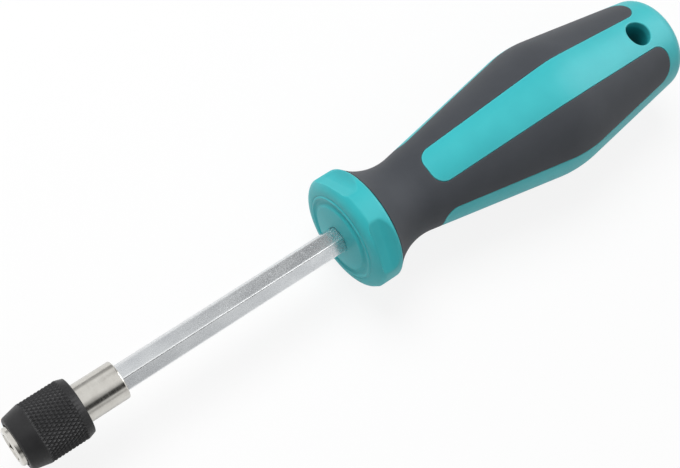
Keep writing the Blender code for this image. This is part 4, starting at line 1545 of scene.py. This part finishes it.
@dataclass(frozen=True)
class ReleaseSleeve:
    """The knurled release sleeve, and the spring and washer inside it.

    Attributes:
        front: Front face of the sleeve.
        rear: Rear face of the sleeve.
        radius: Radius over the knurl.
        nose: Radius and length of the smooth nose.
        nose_round: Rounding of the nose's corners.
        shoulder: From the nose to the first of the rows along the knurl.
        row: Spacing of those rows.
        tail: Radius and length of the rear chamfer.
        tail_round: Rounding of the rear edge.
        mouth: Radius of the front opening.
        inside: Corners of the inside from the rear chamber to the front opening.
        teeth: Knurl teeth round the sleeve.
        tooth_steps: Steps round the sleeve for each tooth.
        tooth_flat: How far the teeth would rise, in depths of the knurl, if they weren't cut flat.
        tooth_lightening: What a tooth's height is multiplied by, and less what, for how far it is
            lightened for wear and a painted highlight.
        knurl: Front and rear end of the knurl.
        knurl_depth: Depth of the knurl.
        knurl_lean: Angle of the knurl's lines from the tool's axis.
        knurl_fade: Length over which the knurl fades out at each end.
        knurl_sink: How far below the sleeve's radius the outline still has the knurl.
        washer: Front face, rear face, inner and outer radius of the spring's washer.
        washer_round: Rounding of the washer's edges.
        spring: Front and rear end of the spring.
        spring_radius: Mean radius of the spring.
        spring_wire: Radius of the spring's wire.
        spring_turns: Turns of the spring.
        turn_steps: Steps in each of its turns.
        travel: How far the sleeve slides back; not used.
    """

    front: float = -14.6 * MM
    rear: float = 1.35 * MM
    radius: float = 7.6 * MM
    nose: tuple[float, float] = (6.6 * MM, 4.4 * MM)
    nose_round: float = 0.62 * MM
    shoulder: float = 0.26 * MM
    row: float = 0.126 * MM
    tail: tuple[float, float] = (7.0 * MM, 1.9 * MM)
    tail_round: float = 0.25 * MM
    mouth: float = 5.3 * MM
    inside: tuple[tuple[float, float], ...] = (
        (1.35 * MM, 6.07 * MM), (-5.85 * MM, 6.07 * MM), (-5.85 * MM, 5.0 * MM),
        (-6.08 * MM, 5.0 * MM), (-10.0 * MM, 6.47 * MM), (-11.55 * MM, 6.47 * MM),
        (-11.55 * MM, 5.0 * MM), (-13.55 * MM, 5.0 * MM), (-13.55 * MM, 5.3 * MM))
    teeth: int = 46
    tooth_steps: int = 8
    tooth_flat: float = 1.2
    tooth_lightening: tuple[float, float] = (1.6, 0.75)
    knurl: tuple[float, float] = (-10.2 * MM, -0.55 * MM)
    knurl_depth: float = 0.34 * MM
    knurl_lean: float = math.radians(30.0)
    knurl_fade: float = 0.35 * MM
    knurl_sink: float = 0.01 * MM
    washer: tuple[float, float, float, float] = (-0.6 * MM, 0.0 * MM, 5.0 * MM, 5.92 * MM)
    washer_round: float = 0.1 * MM
    spring: tuple[float, float] = (-5.7 * MM, -0.75 * MM)
    spring_radius: float = 5.52 * MM
    spring_wire: float = 0.25 * MM
    spring_turns: int = 4
    turn_steps: int = 40
    travel: float = 2.0 * MM

    def outline(self) -> Grid:
        """The sleeve's outline from the front opening over the nose, knurl and tail to the chamber.

        Returns:
            The (x, radius) points, the last one at the first.
        """
        nose_end, tail_start = self.front + self.nose[1], self.rear - self.tail[1]
        start = nose_end + self.shoulder
        nose = rounded([(self.front, self.mouth), (self.front, self.nose[0]), (nose_end, self.radius),
                        (start, self.radius)], self.nose_round, steps=8)
        band_x = np.linspace(start, tail_start, int((tail_start - start) / self.row))[1:]
        band = np.stack([band_x, np.full(len(band_x), self.radius)], axis=1)
        tail = rounded([(tail_start, self.radius), (self.rear, self.tail[0]), self.inside[0]],
                       self.tail_round)
        inside = np.array([*self.inside[1:], (self.front, self.mouth)])
        return np.concatenate([nose, band, tail, inside])

    def sleeve_skin(self) -> list[Patch]:
        """The sleeve: its turned outline, cut by two sets of helical grooves that cross.

        A set's phase is teeth * angle / full turn, plus or minus the place along over the axial
        pitch. The height of a tooth is the lesser distance to a groove of either set, cut flat on
        top, and the knurl fades out at both ends.

        Returns:
            The skin.
        """
        outline = self.outline()
        angle = np.linspace(0.0, 2 * math.pi, self.teeth * self.tooth_steps + 1)
        x, radius = outline[:, :1], np.repeat(outline[:, 1:], len(angle), axis=1)
        pitch = 2 * math.pi * self.radius / self.teeth / math.tan(self.knurl_lean)
        phase = self.teeth * angle[None] / (2 * math.pi)
        height = np.full(radius.shape, np.inf)
        for along in (x / pitch, -x / pitch):
            height = np.minimum(height, 2.0 * np.abs((phase + along) % 1.0 - 0.5))
        height = np.minimum(self.tooth_flat * height, 1.0)
        fade = np.minimum(x - self.knurl[0], self.knurl[1] - x) / self.knurl_fade
        fade = np.clip(fade, 0.0, 1.0) * (outline[:, 1:] > self.radius - self.knurl_sink)
        cut = self.knurl_depth * (1.0 - height) * fade
        slope, less = self.tooth_lightening
        # Tooth tops lightened: wear, and painted highlights on the knurl.
        wear_and_painted_light = np.clip(height * slope - less, 0.0, 1.0) * fade
        return [Patch(polar(x, radius - cut, angle), wear_and_painted_light)]

    def washer_skin(self) -> list[Patch]:
        """The washer, turned from a closed outline with broken edges.

        Returns:
            The skin.
        """
        front, rear, inner, outer = self.washer
        middle = (front + rear) / 2
        corners = [(middle, inner), (front, inner), (front, outer), (rear, outer), (rear, inner),
                   (middle, inner)]
        return [turned(rounded(corners, self.washer_round, steps=3), steps=96)]

    def spring_skin(self) -> list[Patch]:
        """The spring: round wire on a helix, x rising evenly while the angle makes its turns.

        Returns:
            The skin.
        """
        start, stop = self.spring[0] + self.spring_wire, self.spring[1] - self.spring_wire
        count = self.spring_turns * self.turn_steps + 1
        angle = np.linspace(0.0, 2 * math.pi * self.spring_turns, count)
        x = np.linspace(start, stop, count)
        out = polar(0.0, 1.0, angle)
        path = out * self.spring_radius + np.stack([x, 0 * x, 0 * x], axis=1)
        rise = np.full(count, (stop - start) / angle[-1])
        ahead = np.stack([rise, self.spring_radius * np.cos(angle),
                          -self.spring_radius * np.sin(angle)], axis=1)
        side = np.cross(ahead / np.linalg.norm(ahead, axis=1, keepdims=True), out)
        return [Patch(tube(path, out, side, self.spring_wire, around=12))]

    def build(self) -> None:
        """Builds and dresses the sleeve, the washer and the spring, and gives the spring its own mesh.
        """
        put("knurled_sleeve", self.sleeve_skin(), BLACK, Body.SLEEVE, "release_sleeve")
        put("spring_washer", self.washer_skin(), SPRING, Body.SPRING_SEAT, "seat_washer")
        coil = put("coil_spring", self.spring_skin(), SPRING, Body.SPRING_SEAT, "sleeve_spring")
        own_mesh(coil)


# Stage


@dataclass(frozen=True)
class PhotoCamera:
    """A camera that sees the tool as the photograph does.

    Attributes:
        frame: The image's width and height.
        focal: Focal length in image widths.
        lean: Turn of the view from square to the tool, towards its tip.
        turn: Turn of the view about the tool, from +Z towards -Y.
        roll: Angle of the tool's axis in the image.
        aim: Place on the tool's axis that the view is measured from.
        pixel: Where that place is in the image.
        distance: How far it is in front of the camera.
        sensor: Width of the sensor in millimetres.
        near: Where the view starts.
    """

    frame: tuple[int, int] = (680, 468)
    focal: float = 1310.1 / 680.0
    lean: float = math.radians(21.0)
    turn: float = math.radians(12.6)
    roll: float = math.radians(32.55)
    aim: float = 75.5 * MM
    pixel: tuple[float, float] = (339.75, 238.15)
    distance: float = 319.5 * MM
    sensor: float = 36.0
    near: float = 0.01

    def build(self) -> bpy.types.Object:
        """Makes the camera and sets it as the scene's own.

        Returns:
            The camera.
        """
        back = Vector((-math.sin(self.lean), -math.cos(self.lean) * math.sin(self.turn),
                       math.cos(self.lean) * math.cos(self.turn)))
        along = (Vector((1.0, 0.0, 0.0)) + math.sin(self.lean) * back).normalized()
        across = back.cross(along)
        right = math.cos(self.roll) * along - math.sin(self.roll) * across
        up = math.sin(self.roll) * along + math.cos(self.roll) * across
        per_pixel = self.distance / (self.focal * self.frame[0])
        shift_right = (self.frame[0] / 2 - self.pixel[0]) * per_pixel
        shift_up = (self.pixel[1] - self.frame[1] / 2) * per_pixel
        place = Vector((self.aim, 0.0, 0.0)) + self.distance * back
        place += shift_right * right + shift_up * up
        data = bpy.data.cameras.new("photo_camera")
        data.sensor_width = self.sensor
        data.lens = self.focal * self.sensor
        data.clip_start = self.near
        camera = placed("photo_camera", data)
        turn = Matrix((right, up, back)).transposed().to_4x4()
        camera.matrix_world = Matrix.Translation(place) @ turn
        bpy.context.scene.camera = camera
        return camera


@dataclass(frozen=True)
class SoftBox:
    """A soft studio lamp.

    Attributes:
        name: Its name.
        place: Where it hangs.
        size: Its width.
        power: Its power in watts.
        mirrored: Whether it only shows as a highlight, or only lights the tool.
    """

    name: str
    place: tuple[float, float, float]
    size: float
    power: float
    mirrored: bool = False

    def build(self, target: Vector) -> None:
        """Hangs the lamp and turns it to a place.

        Args:
            target: What it shines on.
        """
        data = bpy.data.lights.new(self.name, "AREA")
        data.shape = "DISK"
        data.size = self.size
        data.energy = self.power
        lamp = placed(self.name, data)
        lamp.visible_glossy, lamp.visible_diffuse = self.mirrored, not self.mirrored
        lamp.location = self.place
        lamp.rotation_euler = (target - lamp.location).to_track_quat("-Z", "Y").to_euler()


@dataclass(frozen=True)
class Flag:
    """A dark studio flag that only shows in polished surfaces.

    Attributes:
        way: The direction that it hangs in.
        core: Angle from that direction where it is darkest.
        edge: Angle where it ends.
        depth: How much of the white it takes away.
    """

    way: tuple[float, float, float]
    core: float
    edge: float
    depth: float

    def shade(self, nodes: Nodes, ray: bpy.types.NodeSocket) -> bpy.types.NodeSocket:
        """What the flag takes from a ray, by the cosine of the ray's angle from the flag's way.

        Args:
            nodes: The world's nodes.
            ray: The ray's direction.

        Returns:
            The share's socket.
        """
        way = Vector(self.way).normalized()
        cosine = nodes.node("ShaderNodeVectorMath", {0: ray, 1: way}, operation="DOT_PRODUCT")
        inputs = {"Value": cosine.outputs["Value"], "From Min": math.cos(self.edge),
                  "From Max": math.cos(self.core), "To Min": 0.0, "To Max": self.depth}
        share = nodes.node("ShaderNodeMapRange", inputs, interpolation_type="SMOOTHSTEP")
        return share.outputs["Result"]


@dataclass(frozen=True)
class Studio:
    """The floor, the white surroundings, the lamps and the flags.

    Attributes:
        floor_size: Width of the floor.
        floor_steps: Cells of the floor each way.
        floor_gap: How far the floor lies below the tool.
        floor_roughness: The floor's roughness.
        ambient: Strength of the surroundings as a light.
        floor_colour: The floor's colour.
        glow: Share of the floor that shows plain white, which keeps its shadow faint.
        mirrored_glow: The same share where the floor is seen mirrored in the tool.
        lamps: The soft lamps.
        flags: The dark flags.
    """

    floor_size: float = 4.0
    floor_steps: int = 8
    floor_gap: float = 0.02 * MM
    floor_roughness: float = 0.9
    ambient: float = 0.27
    floor_colour: tuple[int, int, int] = (244, 244, 244)
    glow: float = 0.86
    mirrored_glow: float = 0.35
    lamps: tuple[SoftBox, ...] = (
        SoftBox("key_lamp", (0.06, 0.36, 0.71), 0.50, 5.5),
        SoftBox("fill_lamp", (0.05, -0.50, 0.62), 0.60, 0.6),
        SoftBox("rear_lamp", (0.68, -0.02, 0.52), 0.80, 5.2, mirrored=True),
    )
    flags: tuple[Flag, ...] = (
        Flag((0.164, -0.784, 0.599), math.radians(7.0), math.radians(22.0), 0.95),
        Flag((0.55, 0.50, 0.67), math.radians(18.0), math.radians(22.0), 0.62),
        Flag((0.0, -0.99, 0.08), math.radians(9.0), math.radians(20.0), 0.48),
        Flag((0.30, 0.95, 0.0), math.radians(15.0), math.radians(30.0), 0.55),
        Flag((-0.35, -0.60, 0.72), math.radians(20.0), math.radians(40.0), 0.8),
    )

    def seen(self, nodes: Nodes) -> bpy.types.NodeSocket:
        """The share of a ray that is looked along, not lit by: camera, glossy or transmission.

        Args:
            nodes: The nodes of the floor or the world.

        Returns:
            The share's socket.
        """
        path = nodes.node("ShaderNodeLightPath")
        share = path.outputs["Is Camera Ray"]
        for name in ("Is Glossy Ray", "Is Transmission Ray"):
            share = nodes.worked("MAXIMUM", share, path.outputs[name])
        return share

    def flagged(self, nodes: Nodes) -> bpy.types.NodeSocket:
        """The strength of the white that is looked at: 1, less the greatest flag in glossy rays.

        Args:
            nodes: The world's nodes.

        Returns:
            The strength's socket.
        """
        ray = nodes.node("ShaderNodeTexCoord").outputs["Generated"]
        taken: object = 0.0
        for flag in self.flags:
            taken = nodes.worked("MAXIMUM", taken, flag.shade(nodes, ray))
        glossy = nodes.node("ShaderNodeLightPath").outputs["Is Glossy Ray"]
        return nodes.worked("SUBTRACT", 1.0, nodes.worked("MULTIPLY", taken, glossy))

    def surroundings(self) -> None:
        """Makes the world: white to look at, dimmer as a light."""
        world = bpy.data.worlds.new("studio_white")
        nodes = Nodes(world)
        lit, shown = (nodes.node("ShaderNodeBackground", {"Color": WHITE, "Strength": strength})
                      for strength in (self.ambient, self.flagged(nodes)))
        mix = nodes.node("ShaderNodeMixShader", {0: self.seen(nodes), 1: lit.outputs[0],
                                                 2: shown.outputs[0]})
        nodes.node("ShaderNodeOutputWorld", {"Surface": mix.outputs[0]})
        bpy.context.scene.world = world

    def floor(self, height: float) -> None:
        """Lays the floor: pale matt, and mostly plain white where it is looked at.

        Args:
            height: Its height.
        """
        across = np.linspace(-0.5, 0.5, self.floor_steps + 1) * self.floor_size
        grid = np.stack(np.meshgrid(across, across), axis=-1)
        points = np.concatenate([grid, np.full((*grid.shape[:2], 1), height)], axis=-1)
        mesh = bpy.data.meshes.new("studio_floor")
        mesh.from_pydata(points.reshape(-1, 3).tolist(), [], Patch(points).cells(0)[:, ::-1].tolist())
        wiring = Wiring("studio_floor")
        wiring.finish(Base_Color=linear(self.floor_colour), Roughness=self.floor_roughness)
        glow = wiring.node("ShaderNodeEmission", {"Strength": 1.0})
        mirrored = wiring.worked("MULTIPLY", self.seen(wiring), self.mirrored_glow)
        straight = wiring.node("ShaderNodeLightPath").outputs["Is Camera Ray"]
        share = wiring.worked("MULTIPLY_ADD", straight, self.glow - self.mirrored_glow, mirrored)
        mix = wiring.node("ShaderNodeMixShader", {0: share, 1: wiring.shader.outputs[0],
                                                  2: glow.outputs[0]})
        wiring.give(wiring.output.inputs["Surface"], mix.outputs[0])
        mesh.materials.append(wiring.material)
        placed("studio_floor", mesh)

    def build(self) -> None:
        """Builds the floor under the tool, the surroundings, the lamps and the view settings."""
        lowest, highest = CAD_BOX
        self.floor(lowest[2] - self.floor_gap)
        self.surroundings()
        for lamp in self.lamps:
            lamp.build(Vector(((lowest[0] + highest[0]) / 2, 0.0, 0.0)))
        bpy.context.scene.view_settings.view_transform = "Standard"


def main() -> None:
    """Builds the tool and its stage, and reports each piece."""
    logging.basicConfig(level=logging.INFO, format="%(name)s: %(message)s")
    for part in (Handle(), Shaft(), BitSocket(), ReleaseSleeve(), Studio(), PhotoCamera()):
        LOG.info("building %s", type(part).__name__)
        part.build()


if __name__ == "__main__":
    main()
